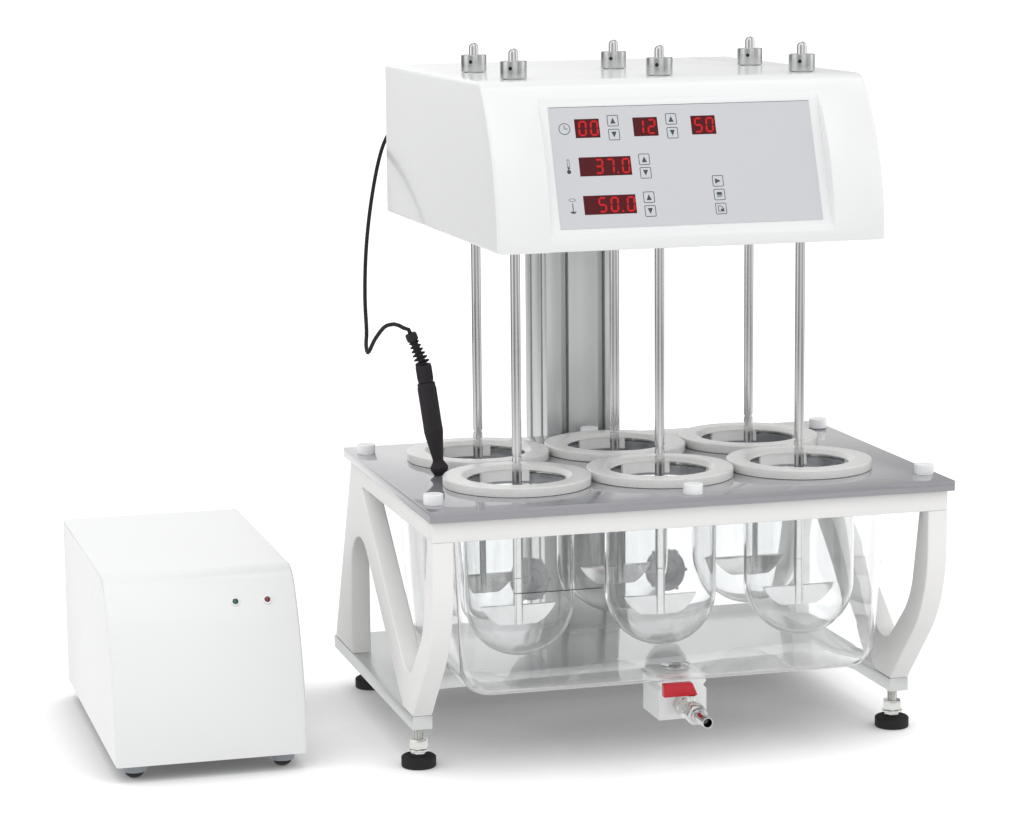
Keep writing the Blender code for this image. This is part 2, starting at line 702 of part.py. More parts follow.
def build_levelling_feet():
    """Rubber pad, hexagon neck, washer, lock nut and the stud that they sit on."""
    for place_name, (x, y) in foot_places().items():
        pad_edge = FOOT_PAD_RADIUS - FOOT_PAD_ROUND
        stud_top = BASE_BOTTOM + FOOT_STUD_GRIP
        pad_top = FOOT_PAD_HEIGHT
        washer_low = pad_top + FOOT_NECK_HEIGHT
        washer_top = washer_low + FOOT_WASHER_HEIGHT
        profile = [
            (0, stud_top), (FOOT_STUD_RADIUS, stud_top), (FOOT_STUD_RADIUS, washer_top),
            (FOOT_WASHER_RADIUS, washer_top), (FOOT_WASHER_RADIUS, washer_low),
            (FOOT_STUD_RADIUS, washer_low), (FOOT_STUD_RADIUS, pad_top), (pad_edge, pad_top),
            (FOOT_PAD_RADIUS, pad_top - FOOT_PAD_ROUND), (FOOT_PAD_RADIUS, 0), (0, 0),
        ]
        name = "levelling_foot_" + place_name
        foot = turned(name, profile, COLLAR_SIDES, BLACK_RUBBER, place=(x, y, 0))
        neck = extruded(
            name + "_neck", [hexagon(FOOT_NECK_FLATS)], FOOT_NECK_HEIGHT + 2 * SEAT_GAP,
            place=(x, y, (pad_top + washer_low) / 2),
        )
        nut_low = washer_top - SEAT_GAP
        nut = extruded(
            name + "_nut", [hexagon(LOCK_NUT_FLATS)], LOCK_NUT_HEIGHT,
            place=(x, y, nut_low + LOCK_NUT_HEIGHT / 2),
        )
        join(foot, neck, nut)


def side_frame_loops():
    """Outer outline and window of a side frame, as (Y, Z) points."""
    front = -FRAME_FRONT
    foot_front = -BASE_FRONT
    rail_back = front + FRONT_RAIL_DEPTH + SEAT_GAP
    rail_low = FRAME_TOP - RAIL_HEIGHT
    window_foot = Vector((front + WINDOW_FOOT_SETBACK, FRAME_BOTTOM + WINDOW_FOOT_HEIGHT))
    window_rear = Vector((FRAME_REAR_TOP - WINDOW_REAR_WALL, rail_low))
    along = (window_rear - window_foot).normalized()
    across = Vector((along.y, -along.x)) * DIAGONAL_WIDTH
    edge = window_foot + across
    diagonal_foot = edge + along * ((FRAME_BOTTOM - edge.y) / along.y)
    arch_corner = edge + along * ((POST_FRONT - edge.x) / along.x)
    outline = rounded([
        (rail_back, FRAME_TOP, 0),
        (rail_back, rail_low - SEAT_GAP, 0),
        (front, rail_low - SEAT_GAP, 0),
        (front, FRAME_BOTTOM + LEG_KNEE_HEIGHT, LEG_KNEE_RADIUS),
        (foot_front, FRAME_BOTTOM, 0),
        (diagonal_foot.x, FRAME_BOTTOM, 0),
        (arch_corner.x, arch_corner.y, ARCH_RADIUS),
        (POST_FRONT, FRAME_BOTTOM, 0),
        (POST_REAR_FOOT, FRAME_BOTTOM, 0),
        (FRAME_REAR_TOP, FRAME_TOP, 0),
    ], steps=6)
    window = rounded([
        (front + LEG_TOP_DEPTH, rail_low, WINDOW_CORNER_RADIUS),
        (front + LEG_INNER_KNEE_SETBACK, FRAME_BOTTOM + LEG_INNER_KNEE_HEIGHT, LEG_INNER_KNEE_RADIUS),
        (window_foot.x, window_foot.y, WINDOW_FOOT_RADIUS),
        (window_rear.x, window_rear.y, WINDOW_CORNER_RADIUS),
    ])
    return [outline, window]


def build_side_frames():
    ledge_low = FRAME_TOP - BATH_WALL - SEAT_GAP
    lip_half_depth = BATH_HALF_DEPTH + BATH_LIP + SEAT_GAP
    for side_name, side in (("left", -1), ("right", 1)):
        middle_x = side * (FRAME_WIDTH - FRAME_THICKNESS) / 2
        frame = extruded(
            "side_frame_" + side_name, side_frame_loops(), FRAME_THICKNESS, FRAME_WHITE,
            place=(middle_x, 0, 0), turn=SIDE_VIEW,
        )
        reach = sorted((side * (FRAME_INNER_X - CUT_OVERRUN), side * (FRAME_INNER_X + BATH_LEDGE + SEAT_GAP)))
        ledge = box(
            "bath_ledge_" + side_name,
            (reach[0], STATION_CENTER_Y - lip_half_depth, ledge_low),
            (reach[1], STATION_CENTER_Y + lip_half_depth, FRAME_TOP + CUT_OVERRUN),
        )
        cut(frame, ledge)


def build_rails():
    low = FRAME_TOP - RAIL_HEIGHT
    half = FRAME_WIDTH / 2
    box(
        "front_rail", (-half, -FRAME_FRONT, low), (half, -FRAME_FRONT + FRONT_RAIL_DEPTH, FRAME_TOP),
        FRAME_WHITE,
    )
    inner = FRAME_INNER_X - SEAT_GAP
    box(
        "rear_rail", (-inner, REAR_RAIL_FRONT, low), (inner, REAR_RAIL_FRONT + REAR_RAIL_DEPTH, FRAME_TOP),
        FRAME_WHITE,
    )


def cap_places():
    side_x = (FRAME_WIDTH - FRAME_THICKNESS) / 2
    front_y = -FRAME_FRONT + FRONT_RAIL_DEPTH / 2
    rear_y = REAR_RAIL_FRONT + REAR_RAIL_DEPTH / 2
    corners = [(x, y) for x in (-side_x, side_x) for y in (-CAP_SIDE_Y, CAP_SIDE_Y)]
    return corners + [(0, front_y), (0, rear_y)]


def build_vessel_plate():
    half_width, half_depth = PLATE_WIDTH / 2, PLATE_DEPTH / 2
    plate = box(
        "vessel_plate", (-half_width, -half_depth, PLATE_BOTTOM), (half_width, half_depth, PLATE_TOP),
        PLATE_GREY,
    )
    bevel(plate, PLATE_EDGE)
    vessel_holes = posts(
        "vessel_holes", station_places(), VESSEL_HOLE_RADIUS,
        PLATE_BOTTOM - CUT_OVERRUN, PLATE_TOP + CUT_OVERRUN, VESSEL_SIDES,
    )
    probe_hole = posts(
        "probe_hole", [(PROBE_X, PROBE_Y)], PROBE_HOLE_RADIUS,
        PLATE_BOTTOM - CUT_OVERRUN, PLATE_TOP + CUT_OVERRUN, SHAFT_SIDES,
    )
    caps = posts(
        "plate_caps", cap_places(), CAP_RADIUS, PLATE_TOP - CUT_OVERRUN, PLATE_TOP + CAP_HEIGHT, COLLAR_SIDES,
    )
    cut(plate, vessel_holes, probe_hole)
    join(plate, caps)


def ball_profile(radius, middle, steps):
    """Quarter circle from the side of a ball down to its lowest point."""
    angles = [math.pi / 2 * step / steps for step in range(1, steps + 1)]
    return [(radius * math.cos(angle), middle - radius * math.sin(angle)) for angle in angles[:-1]] + [
        (0, middle - radius)
    ]


def build_vessels():
    rim_top = RIM_BOTTOM + VESSEL_RIM_HEIGHT
    middle = VESSEL_BOTTOM + VESSEL_OUTER_RADIUS
    outside = [
        (VESSEL_RIM_RADIUS, rim_top), (VESSEL_RIM_RADIUS, RIM_BOTTOM),
        (VESSEL_OUTER_RADIUS, RIM_BOTTOM), (VESSEL_OUTER_RADIUS, middle),
    ] + ball_profile(VESSEL_OUTER_RADIUS, middle, BALL_STEPS)
    inside = [(VESSEL_INNER_RADIUS, rim_top), (VESSEL_INNER_RADIUS, middle)]
    inside += ball_profile(VESSEL_INNER_RADIUS, middle, BALL_STEPS)
    profile = outside + inside[::-1]
    for number, x, y in stations():
        vessel = turned(f"vessel_{number}", profile, VESSEL_SIDES, GLASS, place=(x, y, 0))
        close_profile(vessel)


def close_profile(thing):
    """Joins the last profile point to the first, for a shape that meets its axis inside the profile."""
    bm = bmesh.new()
    bm.from_mesh(thing.data)
    bm.verts.ensure_lookup_table()
    bm.edges.new((bm.verts[-1], bm.verts[0]))
    on_axis = [edge for edge in bm.edges if all(vert.co.x == 0 for vert in edge.verts)]
    bmesh.ops.delete(bm, geom=on_axis, context="EDGES_FACES")
    bm.to_mesh(thing.data)
    bm.free()


def ring_mesh():
    """A centering ring about its own axis, standing on the plate, with tabs that hang inside the glass."""
    low = PLATE_TOP + SEAT_GAP
    top = low + RING_HEIGHT
    rim_room = VESSEL_RIM_RADIUS + SEAT_GAP
    lip_bottom = low + VESSEL_RIM_HEIGHT + SEAT_GAP
    lip_inner = RING_LIP_RADIUS - RING_LIP_THICKNESS
    profile = [
        (RING_RADIUS, low), (rim_room, low), (rim_room, lip_bottom), (RING_LIP_RADIUS, lip_bottom),
        (lip_inner, lip_bottom), (lip_inner, top - RING_BEVEL_DROP),
        (lip_inner + RING_BEVEL_WIDTH, top), (RING_RADIUS - RING_EDGE, top), (RING_RADIUS, top - RING_EDGE),
    ]
    bm = bmesh.new()
    points = [bm.verts.new((radius, 0, height)) for radius, height in profile]
    edges = [bm.edges.new((points[i - 1], points[i])) for i in range(len(points))]
    bmesh.ops.spin(
        bm, geom=points + edges, cent=(0, 0, 0), axis=(0, 0, 1), angle=2 * math.pi,
        steps=VESSEL_SIDES, use_merge=True,
    )
    bmesh.ops.recalc_face_normals(bm, faces=bm.faces)
    tab_faces = [face for face in bm.faces if is_tab_face(face, lip_bottom)]
    pulled = bmesh.ops.extrude_face_region(bm, geom=tab_faces)
    moved = [item for item in pulled["geom"] if isinstance(item, bmesh.types.BMVert)]
    bmesh.ops.translate(bm, verts=moved, vec=(0, 0, -(TAB_DEPTH + VESSEL_RIM_HEIGHT)))
    bmesh.ops.delete(bm, geom=tab_faces, context="FACES")
    return mesh_from("centering_ring", bm)


def is_tab_face(face, lip_bottom):
    middle = face.calc_center_median()
    if abs(middle.z - lip_bottom) > WELD_DISTANCE:
        return False
    if middle.xy.length > RING_LIP_RADIUS:
        return False
    pitch = 2 * math.pi / TAB_COUNT
    angle = (math.atan2(middle.y, middle.x) - math.pi / 2 + TAB_SPAN_SHARE * pitch / 2) % pitch
    return angle < TAB_SPAN_SHARE * pitch


def build_centering_rings():
    mesh = ring_mesh()
    for number, x, y in stations():
        add_object(f"centering_ring_{number}", mesh.copy(), NATURAL_PLASTIC, place=(x, y, 0))


def blade_outline():
    """The blade from the front: straight top and bottom, sides on one circle round the shaft."""
    half_top, half_foot = BLADE_CHORD / 2, BLADE_FOOT_CHORD / 2
    rise = ((half_top ** 2 - half_foot ** 2) / BLADE_HEIGHT - BLADE_HEIGHT) / 2
    arc_radius = math.hypot(half_top, rise)
    drops = [BLADE_HEIGHT * step / CORNER_STEPS for step in range(CORNER_STEPS + 1)]
    right = [(math.sqrt(arc_radius ** 2 - (rise + drop) ** 2), BLADE_HEIGHT - drop) for drop in drops]
    left = [(-x, z) for x, z in right[::-1]]
    return right + left


def build_paddles():
    bottom = BLADE_BOTTOM
    joint = bottom + SHAFT_JOINT_HEIGHT
    shoulder = SHAFT_TOP - SHAFT_RADIUS
    angles = [math.pi / 2 * (1 - step / DOME_STEPS) for step in range(1, DOME_STEPS + 1)]
    dome = [(SHAFT_RADIUS * math.cos(angle), shoulder + SHAFT_RADIUS * math.sin(angle)) for angle in angles]
    profile = [(0, SHAFT_TOP)] + dome + [
        (SHAFT_RADIUS, joint + SHAFT_JOINT_DEPTH), (SHAFT_RADIUS - SHAFT_JOINT_DEPTH, joint),
        (SHAFT_RADIUS, joint - SHAFT_JOINT_DEPTH), (SHAFT_RADIUS, bottom), (0, bottom),
    ]
    for number, x, y in stations():
        paddle = turned(f"paddle_{number}", profile, SHAFT_SIDES, STEEL, place=(x, y, 0))
        blade = extruded(
            f"blade_{number}", [blade_outline()], BLADE_THICKNESS, place=(x, y, bottom), turn=FRONT_VIEW,
        )
        join(paddle, blade)


def build_collars():
    low, top = COLLAR_BOTTOM, COLLAR_TOP
    bore = SHAFT_RADIUS + SEAT_GAP
    profile = [
        (bore, top), (COLLAR_RADIUS - COLLAR_EDGE, top), (COLLAR_RADIUS, top - COLLAR_EDGE),
        (COLLAR_RADIUS, low), (bore, low),
    ]
    turn_to_front = math.radians(90) + math.pi / COLLAR_SIDES
    for number, x, y in stations():
        collar = turned(
            f"collar_{number}", profile, COLLAR_SIDES, ANODISED, closed=True, place=(x, y, 0),
            turn=(0, 0, turn_to_front),
        )
        reach = COLLAR_RADIUS + CUT_OVERRUN
        screw = posts(
            f"set_screw_{number}", [(0, 0)], SET_SCREW_RADIUS, COLLAR_RADIUS - SET_SCREW_DEPTH, reach,
            HEX_SIDES, place=(x, y, low + SET_SCREW_HEIGHT), turn=(math.radians(90), 0, 0),
        )
        cut(collar, screw)


def head_center_y():
    return -HEAD_FRONT + HEAD_CURVE_RADIUS


def head_point(arc_length, depth=0.0):
    """A point (Y, Z) on the head's curved front, by its distance up the curve and its depth below it."""
    angle = arc_length / HEAD_CURVE_RADIUS
    radius = HEAD_CURVE_RADIUS - depth
    return (head_center_y() - radius * math.cos(angle), HEAD_BOTTOM + radius * math.sin(angle))


def head_arc(low, high, depth):
    steps = HEAD_CURVE_STEPS
    return [head_point(low + (high - low) * step / steps, depth) for step in range(steps + 1)]


def head_outline(depth, low):
    """The head from the side, taken in by a wall, from a given height up."""
    top = HEAD_TOP - depth
    radius = HEAD_CURVE_RADIUS - depth
    brow_radius = HEAD_BROW_RADIUS - depth
    # the brow circle touches the flat top and, from inside, the front curve
    reach = radius - brow_radius
    brow_z = top - brow_radius
    brow_y = head_center_y() - math.sqrt(reach ** 2 - (brow_z - HEAD_BOTTOM) ** 2)
    touch = math.atan2(brow_z - HEAD_BOTTOM, head_center_y() - brow_y)
    curve = [(head_center_y() - radius * math.cos(touch * step / HEAD_CURVE_STEPS),
              HEAD_BOTTOM + radius * math.sin(touch * step / HEAD_CURVE_STEPS))
             for step in range(HEAD_CURVE_STEPS + 1)]
    brow = []
    for step in range(1, CORNER_STEPS + 1):
        angle = touch + (math.pi / 2 - touch) * step / CORNER_STEPS
        brow.append((brow_y - brow_radius * math.cos(angle), brow_z + brow_radius * math.sin(angle)))
    rear = HEAD_REAR - depth
    points = curve + brow + [(rear, top), (rear, low)]
    if low < HEAD_BOTTOM:
        points.append((curve[0][0], low))
    return points


def build_head_housing():
    shell = extruded("head_housing", [head_outline(0, HEAD_BOTTOM)], HEAD_WIDTH, GLOSS_WHITE, turn=SIDE_VIEW)
    inside = extruded(
        "head_inside", [head_outline(HEAD_WALL, HEAD_BOTTOM - CUT_OVERRUN)], HEAD_WIDTH - 2 * HEAD_WALL,
        turn=SIDE_VIEW,
    )
    low, high = PANEL_LOW - RECESS_MARGIN, PANEL_HIGH + RECESS_MARGIN
    pan = head_arc(low, high, RECESS_DEPTH) + head_arc(low, high, -CUT_OVERRUN)[::-1]
    recess = extruded("panel_recess", [pan], PANEL_WIDTH + 2 * RECESS_MARGIN, turn=SIDE_VIEW)
    holes = posts(
        "spindle_holes", station_places(), SPINDLE_HOLE_RADIUS,
        HEAD_TOP - HEAD_WALL - CUT_OVERRUN, HEAD_TOP + CUT_OVERRUN, SHAFT_SIDES,
    )
    gland_hole = posts(
        "gland_hole", [(GLAND_X, GLAND_HEIGHT)], GLAND_THREAD_RADIUS + SEAT_GAP,
        -HEAD_REAR - CUT_OVERRUN, -HEAD_REAR + HEAD_WALL + CUT_OVERRUN, SHAFT_SIDES,
        turn=(math.radians(90), 0, 0),
    )
    cut(shell, inside, recess, holes, gland_hole)


def build_control_panel():
    low_face = head_arc(PANEL_LOW, PANEL_HIGH, RECESS_DEPTH - SEAT_GAP)
    high_face = head_arc(PANEL_LOW, PANEL_HIGH, RECESS_DEPTH - SEAT_GAP - PANEL_THICKNESS)
    extruded("control_panel", [low_face + high_face[::-1]], PANEL_WIDTH, FOIL_GREY, turn=SIDE_VIEW)


def build_head_chassis():
    """Floor plate with six bearing housings and the bracket that is bolted to the column."""
    gap = HEAD_WALL + SEAT_GAP
    half = HEAD_WIDTH / 2 - gap
    front = head_point(CHASSIS_INSET + CHASSIS_THICKNESS, gap)[0]
    notch_front = COLUMN_FRONT - SEAT_GAP
    notch_half = COLUMN_SIDE / 2 + SEAT_GAP
    rear = HEAD_REAR - gap
    outline = [
        (-half, front), (half, front), (half, rear), (notch_half, rear), (notch_half, notch_front),
        (-notch_half, notch_front), (-notch_half, rear), (-half, rear),
    ]
    middle = (0, 0, (CHASSIS_BOTTOM + CHASSIS_TOP) / 2)
    chassis = extruded("head_chassis", [outline], CHASSIS_THICKNESS, ANODISED, place=middle)
    bearings = posts(
        "bearing_housings", station_places(), BEARING_RADIUS, CHASSIS_BOTTOM + SEAT_GAP, BEARING_TOP,
        SHAFT_SIDES,
    )
    bracket = box(
        "column_bracket", (-COLUMN_SIDE / 2, notch_front - BRACKET_THICKNESS, CHASSIS_BOTTOM + SEAT_GAP),
        (COLUMN_SIDE / 2, notch_front, CHASSIS_BOTTOM + BRACKET_HEIGHT),
    )
    bores = posts(
        "bearing_bores", station_places(), SPINDLE_RADIUS + RUNNING_GAP,
        CHASSIS_BOTTOM - CUT_OVERRUN, BEARING_TOP + CUT_OVERRUN, SHAFT_SIDES,
    )
    join(chassis, bearings, bracket)
    cut(chassis, bores)


def pulley_profile(bore, radius, low, hub_radius, hub_top, skirt_low):
    """Belt pulley with two flanges on a hub that reaches above and below it."""
    flange = radius + PULLEY_FLANGE
    top = low + PULLEY_HEIGHT
    return [
        (bore, hub_top), (hub_radius, hub_top), (hub_radius, top), (flange, top),
        (flange, top - PULLEY_FLANGE_HEIGHT), (radius, top - PULLEY_FLANGE_HEIGHT),
        (radius, low + PULLEY_FLANGE_HEIGHT), (flange, low + PULLEY_FLANGE_HEIGHT), (flange, low),
        (hub_radius, low), (hub_radius, skirt_low), (bore, skirt_low),
    ]


def build_spindles():
    profile = pulley_profile(
        SHAFT_RADIUS + RUNNING_GAP, PULLEY_RADIUS, PULLEY_BOTTOM, SPINDLE_RADIUS, SPINDLE_TOP, SPINDLE_BOTTOM,
    )
    for number, x, y in stations():
        turned(f"spindle_{number}", profile, SHAFT_SIDES, STEEL, closed=True, place=(x, y, 0))


def build_drive_motor():
    side = MOTOR_SIDE / 2
    corners = [(-side, -side), (side, -side), (side, side), (-side, side)]
    outline = rounded([(x, y, MOTOR_CORNER) for x, y in corners], steps=1)
    low = CHASSIS_TOP + SEAT_GAP
    motor = extruded(
        "drive_motor", [outline], MOTOR_HEIGHT, BLACK_PLASTIC,
        place=(MOTOR_X, STATION_CENTER_Y, low + MOTOR_HEIGHT / 2),
    )
    here = [(MOTOR_X, STATION_CENTER_Y)]
    pilot = posts(
        "motor_pilot", here, MOTOR_PILOT_RADIUS, MOTOR_TOP - CUT_OVERRUN, MOTOR_TOP + MOTOR_PILOT_HEIGHT,
        SHAFT_SIDES,
    )
    shaft_end = PULLEY_BOTTOM + PULLEY_HEIGHT
    shaft = posts("motor_shaft", here, MOTOR_SHAFT_RADIUS, MOTOR_TOP - CUT_OVERRUN, shaft_end, SHAFT_SIDES)
    join(motor, pilot, shaft)


def build_motor_pulley():
    skirt = MOTOR_TOP + MOTOR_PILOT_HEIGHT + SEAT_GAP
    profile = pulley_profile(
        MOTOR_SHAFT_RADIUS + RUNNING_GAP, MOTOR_PULLEY_RADIUS, PULLEY_BOTTOM, MOTOR_HUB_RADIUS,
        PULLEY_BOTTOM + PULLEY_HEIGHT + MOTOR_HUB_HEIGHT, skirt,
    )
    turned(
        "motor_pulley", profile, SHAFT_SIDES, ANODISED, closed=True, place=(MOTOR_X, STATION_CENTER_Y, 0),
    )


def belt_loop(offset):
    """The belt's path round the outer pulleys and the motor pulley, as arcs joined by tangents."""
    places = station_places()
    left, right = places[0][0], places[STATION_COLUMNS - 1][0]
    front, rear = places[0][1], places[-1][1]
    wheels = [
        (Vector((left, front)), PULLEY_RADIUS), (Vector((right, front)), PULLEY_RADIUS),
        (Vector((MOTOR_X, STATION_CENTER_Y)), MOTOR_PULLEY_RADIUS),
        (Vector((right, rear)), PULLEY_RADIUS), (Vector((left, rear)), PULLEY_RADIUS),
    ]
    count = len(wheels)
    leave = []
    for index, (center, radius) in enumerate(wheels):
        ahead, ahead_radius = wheels[(index + 1) % count]
        run = ahead - center
        lean = math.asin((radius - ahead_radius) / run.length)
        leave.append(math.atan2(run.y, run.x) - math.pi / 2 + lean)
    points = []
    for index, (center, radius) in enumerate(wheels):
        start = leave[index - 1]
        turn = (leave[index] - start) % (2 * math.pi)
        for step in range(BELT_STEPS + 1):
            angle = start + turn * step / BELT_STEPS
            spoke = Vector((math.cos(angle), math.sin(angle)))
            points.append(tuple(center + spoke * (radius + offset)))
    return points


def build_drive_belt():
    inner = belt_loop(SEAT_GAP)
    outer = belt_loop(SEAT_GAP + BELT_THICKNESS)
    extruded(
        "drive_belt", [outer, inner], BELT_WIDTH, BLACK_RUBBER, place=(0, 0, BELT_BOTTOM + BELT_WIDTH / 2),
    )


def slotted_side():
    """One side of the column's outline from corner to corner, with its T-slots, for a side along +X."""
    half = COLUMN_SIDE / 2
    points = [(-half, -half)]
    for middle in (-SLOT_PITCH / 2, SLOT_PITCH / 2):
        steps = [
            (-SLOT_MOUTH / 2, 0), (-SLOT_MOUTH / 2, SLOT_LIP), (-SLOT_WIDTH / 2, SLOT_LIP),
            (-SLOT_FLOOR / 2, SLOT_DEPTH), (SLOT_FLOOR / 2, SLOT_DEPTH), (SLOT_WIDTH / 2, SLOT_LIP),
            (SLOT_MOUTH / 2, SLOT_LIP), (SLOT_MOUTH / 2, 0),
        ]
        points += [(middle + across, deep - half) for across, deep in steps]
    return points


def build_column():
    outline = []
    for side in range(4):
        quarter = Matrix.Rotation(math.radians(90) * side, 2)
        outline += [tuple(quarter @ Vector(point)) for point in slotted_side()]
    extruded(
        "column", [outline], COLUMN_TOP - COLUMN_BOTTOM, ANODISED,
        place=(0, COLUMN_FRONT + COLUMN_SIDE / 2, (COLUMN_TOP + COLUMN_BOTTOM) / 2),
    )


def bath_half_depth(height):
    return BATH_HALF_DEPTH - (BATH_TOP - height) * math.tan(BATH_DRAFT)


def build_water_bath():
    """Drafted tub with round corners and a hanging lip, as an open skin given its wall by Solidify."""
    tall = BATH_TOP - BATH_BOTTOM
    taper = tall * math.tan(BATH_DRAFT)
    bm = bmesh.new()
    bmesh.ops.create_cube(bm, size=1.0)
    bmesh.ops.scale(bm, vec=(2 * BATH_HALF_WIDTH, 2 * BATH_HALF_DEPTH, tall), verts=bm.verts)
    for vert in bm.verts:
        if vert.co.z < 0:
            vert.co.x -= math.copysign(taper, vert.co.x)
            vert.co.y -= math.copysign(taper, vert.co.y)
    upright = [edge for edge in bm.edges if edge.verts[0].co.z * edge.verts[1].co.z < 0]
    bmesh.ops.bevel(
        bm, geom=upright, offset=BATH_CORNER, segments=CORNER_STEPS, profile=ROUND_SHARE, affect="EDGES",
    )
    foot = WELD_DISTANCE - tall / 2
    foot_edges = [edge for edge in bm.edges if all(vert.co.z < foot for vert in edge.verts)]
    bmesh.ops.bevel(
        bm, geom=foot_edges, offset=BATH_FLOOR_ROUND, segments=CORNER_STEPS - 1, profile=ROUND_SHARE,
        affect="EDGES",
    )
    lid = [face for face in bm.faces if face.calc_center_median().z > tall / 2 - WELD_DISTANCE]
    bmesh.ops.delete(bm, geom=lid, context="FACES_ONLY")
    rim = [edge for edge in bm.edges if edge.is_boundary]
    lip = bmesh.ops.extrude_edge_only(bm, edges=rim)
    lip_verts = [item for item in lip["geom"] if isinstance(item, bmesh.types.BMVert)]
    widen = (FRAME_INNER_X + BATH_LEDGE) / BATH_HALF_WIDTH
    deepen = (BATH_HALF_DEPTH + BATH_LIP) / BATH_HALF_DEPTH
    bmesh.ops.scale(bm, vec=(widen, deepen, 1), verts=lip_verts)
    bmesh.ops.recalc_face_normals(bm, faces=bm.faces)
    floor = min(bm.faces, key=lambda face: face.calc_center_median().z)
    if floor.normal.z > 0:
        bmesh.ops.reverse_faces(bm, faces=bm.faces)
    mesh = bpy.data.meshes.new("water_bath")
    bm.to_mesh(mesh)
    bm.free()
    middle = (0, STATION_CENTER_Y, (BATH_TOP + BATH_BOTTOM) / 2)
    bath = add_object("water_bath", mesh, CLEAR_PLASTIC, place=middle)
    wall = bath.modifiers.new("wall", "SOLIDIFY")
    wall.thickness = BATH_WALL
    wall.offset = -1
    wall.use_even_offset = True
    drain_hole = posts(
        "drain_hole", [(DRAIN_X, DRAIN_Y)], DRAIN_SEAT_RADIUS, BATH_BOTTOM - CUT_OVERRUN,
        BATH_BOTTOM + BATH_WALL + CUT_OVERRUN, FITTING_SIDES,
    )
    cut(bath, drain_hole)
    for side_name, side in (("left", -1), ("right", 1)):
        hole = posts(
            "port_hole_" + side_name, [(0, 0)], PORT_NECK_RADIUS + SEAT_GAP,
            -BATH_WALL - CUT_OVERRUN, CUT_OVERRUN, FITTING_SIDES, **port_seat(side),
        )
        cut(bath, hole)


def port_seat(side):
    """Place and turn of a water port: local +Z leaves the bath through the drafted rear wall."""
    wall_y = STATION_CENTER_Y + bath_half_depth(PORT_HEIGHT)
    return {"place": (side * PORT_X, wall_y, PORT_HEIGHT), "turn": (math.radians(-90) - BATH_DRAFT, 0, 0)}


def build_bath_ports():
    inner_face = -BATH_WALL - SEAT_GAP
    body_low = inner_face - PORT_BODY_DEPTH
    nut_top = SEAT_GAP + PORT_NUT_DEPTH
    barb_top = nut_top + PORT_BARB_LENGTH
    ridge = barb_top - PORT_BARB_POINT
    profile = [
        (PORT_BORE_RADIUS, barb_top), (PORT_BARB_RADIUS, barb_top),
        (PORT_BARB_RADIUS + PORT_BARB_RIDGE, ridge), (PORT_BARB_RADIUS, ridge),
        (PORT_BARB_RADIUS, nut_top), (PORT_NUT_RADIUS, nut_top),
        (PORT_NUT_RADIUS, SEAT_GAP), (PORT_NECK_RADIUS, SEAT_GAP), (PORT_NECK_RADIUS, inner_face),
        (PORT_BODY_RADIUS, inner_face), (PORT_BODY_RADIUS, body_low + PORT_RIM),
        (PORT_BODY_RADIUS - PORT_RIM, body_low), (PORT_BORE_RADIUS, body_low),
    ]
    for side_name, side in (("left", -1), ("right", 1)):
        turned(
            "bath_port_" + side_name, profile, FITTING_SIDES, GREY_PLASTIC, closed=True, **port_seat(side),
        )


def drain_block_outline():
    """The block from the front: a body, a V groove and a top lip under the bath."""
    half = DRAIN_BLOCK_WIDTH / 2
    top = BATH_BOTTOM - SEAT_GAP
    lip_low = top - DRAIN_LIP_HEIGHT / 2
    groove = top - DRAIN_LIP_HEIGHT
    body_top = groove - DRAIN_GROOVE_DEPTH
    right = [
        (half, DRAIN_BLOCK_BOTTOM), (half, body_top), (half - DRAIN_GROOVE_DEPTH, groove),
        (half, lip_low), (half - DRAIN_GROOVE_DEPTH, top),
    ]
    return right + [(-x, z) for x, z in right[::-1]]


def build_drain_block():
    block = extruded(
        "drain_block", [drain_block_outline()], DRAIN_BLOCK_DEPTH, WHITE_PLASTIC,
        place=(DRAIN_X, DRAIN_Y, 0), turn=FRONT_VIEW,
    )
    top = BATH_BOTTOM - SEAT_GAP
    seat = posts(
        "drain_seat", [(DRAIN_X, DRAIN_Y)], DRAIN_SEAT_RADIUS, top - DRAIN_SEAT_DEPTH, top + CUT_OVERRUN,
        FITTING_SIDES,
    )
    thread_hole = posts(
        "valve_thread_hole", [(0, 0)], VALVE_THREAD_RADIUS + SEAT_GAP,
        DRAIN_BLOCK_DEPTH / 2 - VALVE_THREAD_LENGTH - SEAT_GAP, DRAIN_BLOCK_DEPTH / 2 + CUT_OVERRUN,
        SHAFT_SIDES, place=(DRAIN_X, DRAIN_Y, VALVE_HEIGHT), turn=(math.radians(90), 0, 0),
    )
    cut(block, seat, thread_hole)


def build_drain_flange():
    floor = BATH_BOTTOM + BATH_WALL + SEAT_GAP
    top = floor + DRAIN_FLANGE_HEIGHT
    neck = DRAIN_SEAT_RADIUS - SEAT_GAP
    low = BATH_BOTTOM - DRAIN_SEAT_DEPTH + SEAT_GAP
    profile = [
        (DRAIN_BORE_RADIUS, top - DRAIN_FLANGE_DISH), (DRAIN_FLANGE_RADIUS - DRAIN_FLANGE_SLOPE, top),
        (DRAIN_FLANGE_RADIUS, top - DRAIN_FLANGE_RIM), (DRAIN_FLANGE_RADIUS, floor), (neck, floor),
        (neck, low), (DRAIN_BORE_RADIUS, low),
    ]
    turned(
        "drain_flange", profile, FITTING_SIDES, STEEL, closed=True, place=(DRAIN_X, DRAIN_Y, 0),
        turn=(0, 0, math.pi / FITTING_SIDES),
    )


def valve_front():
    """Y of the block face that the valve is screwed into."""
    return DRAIN_Y - DRAIN_BLOCK_DEPTH / 2


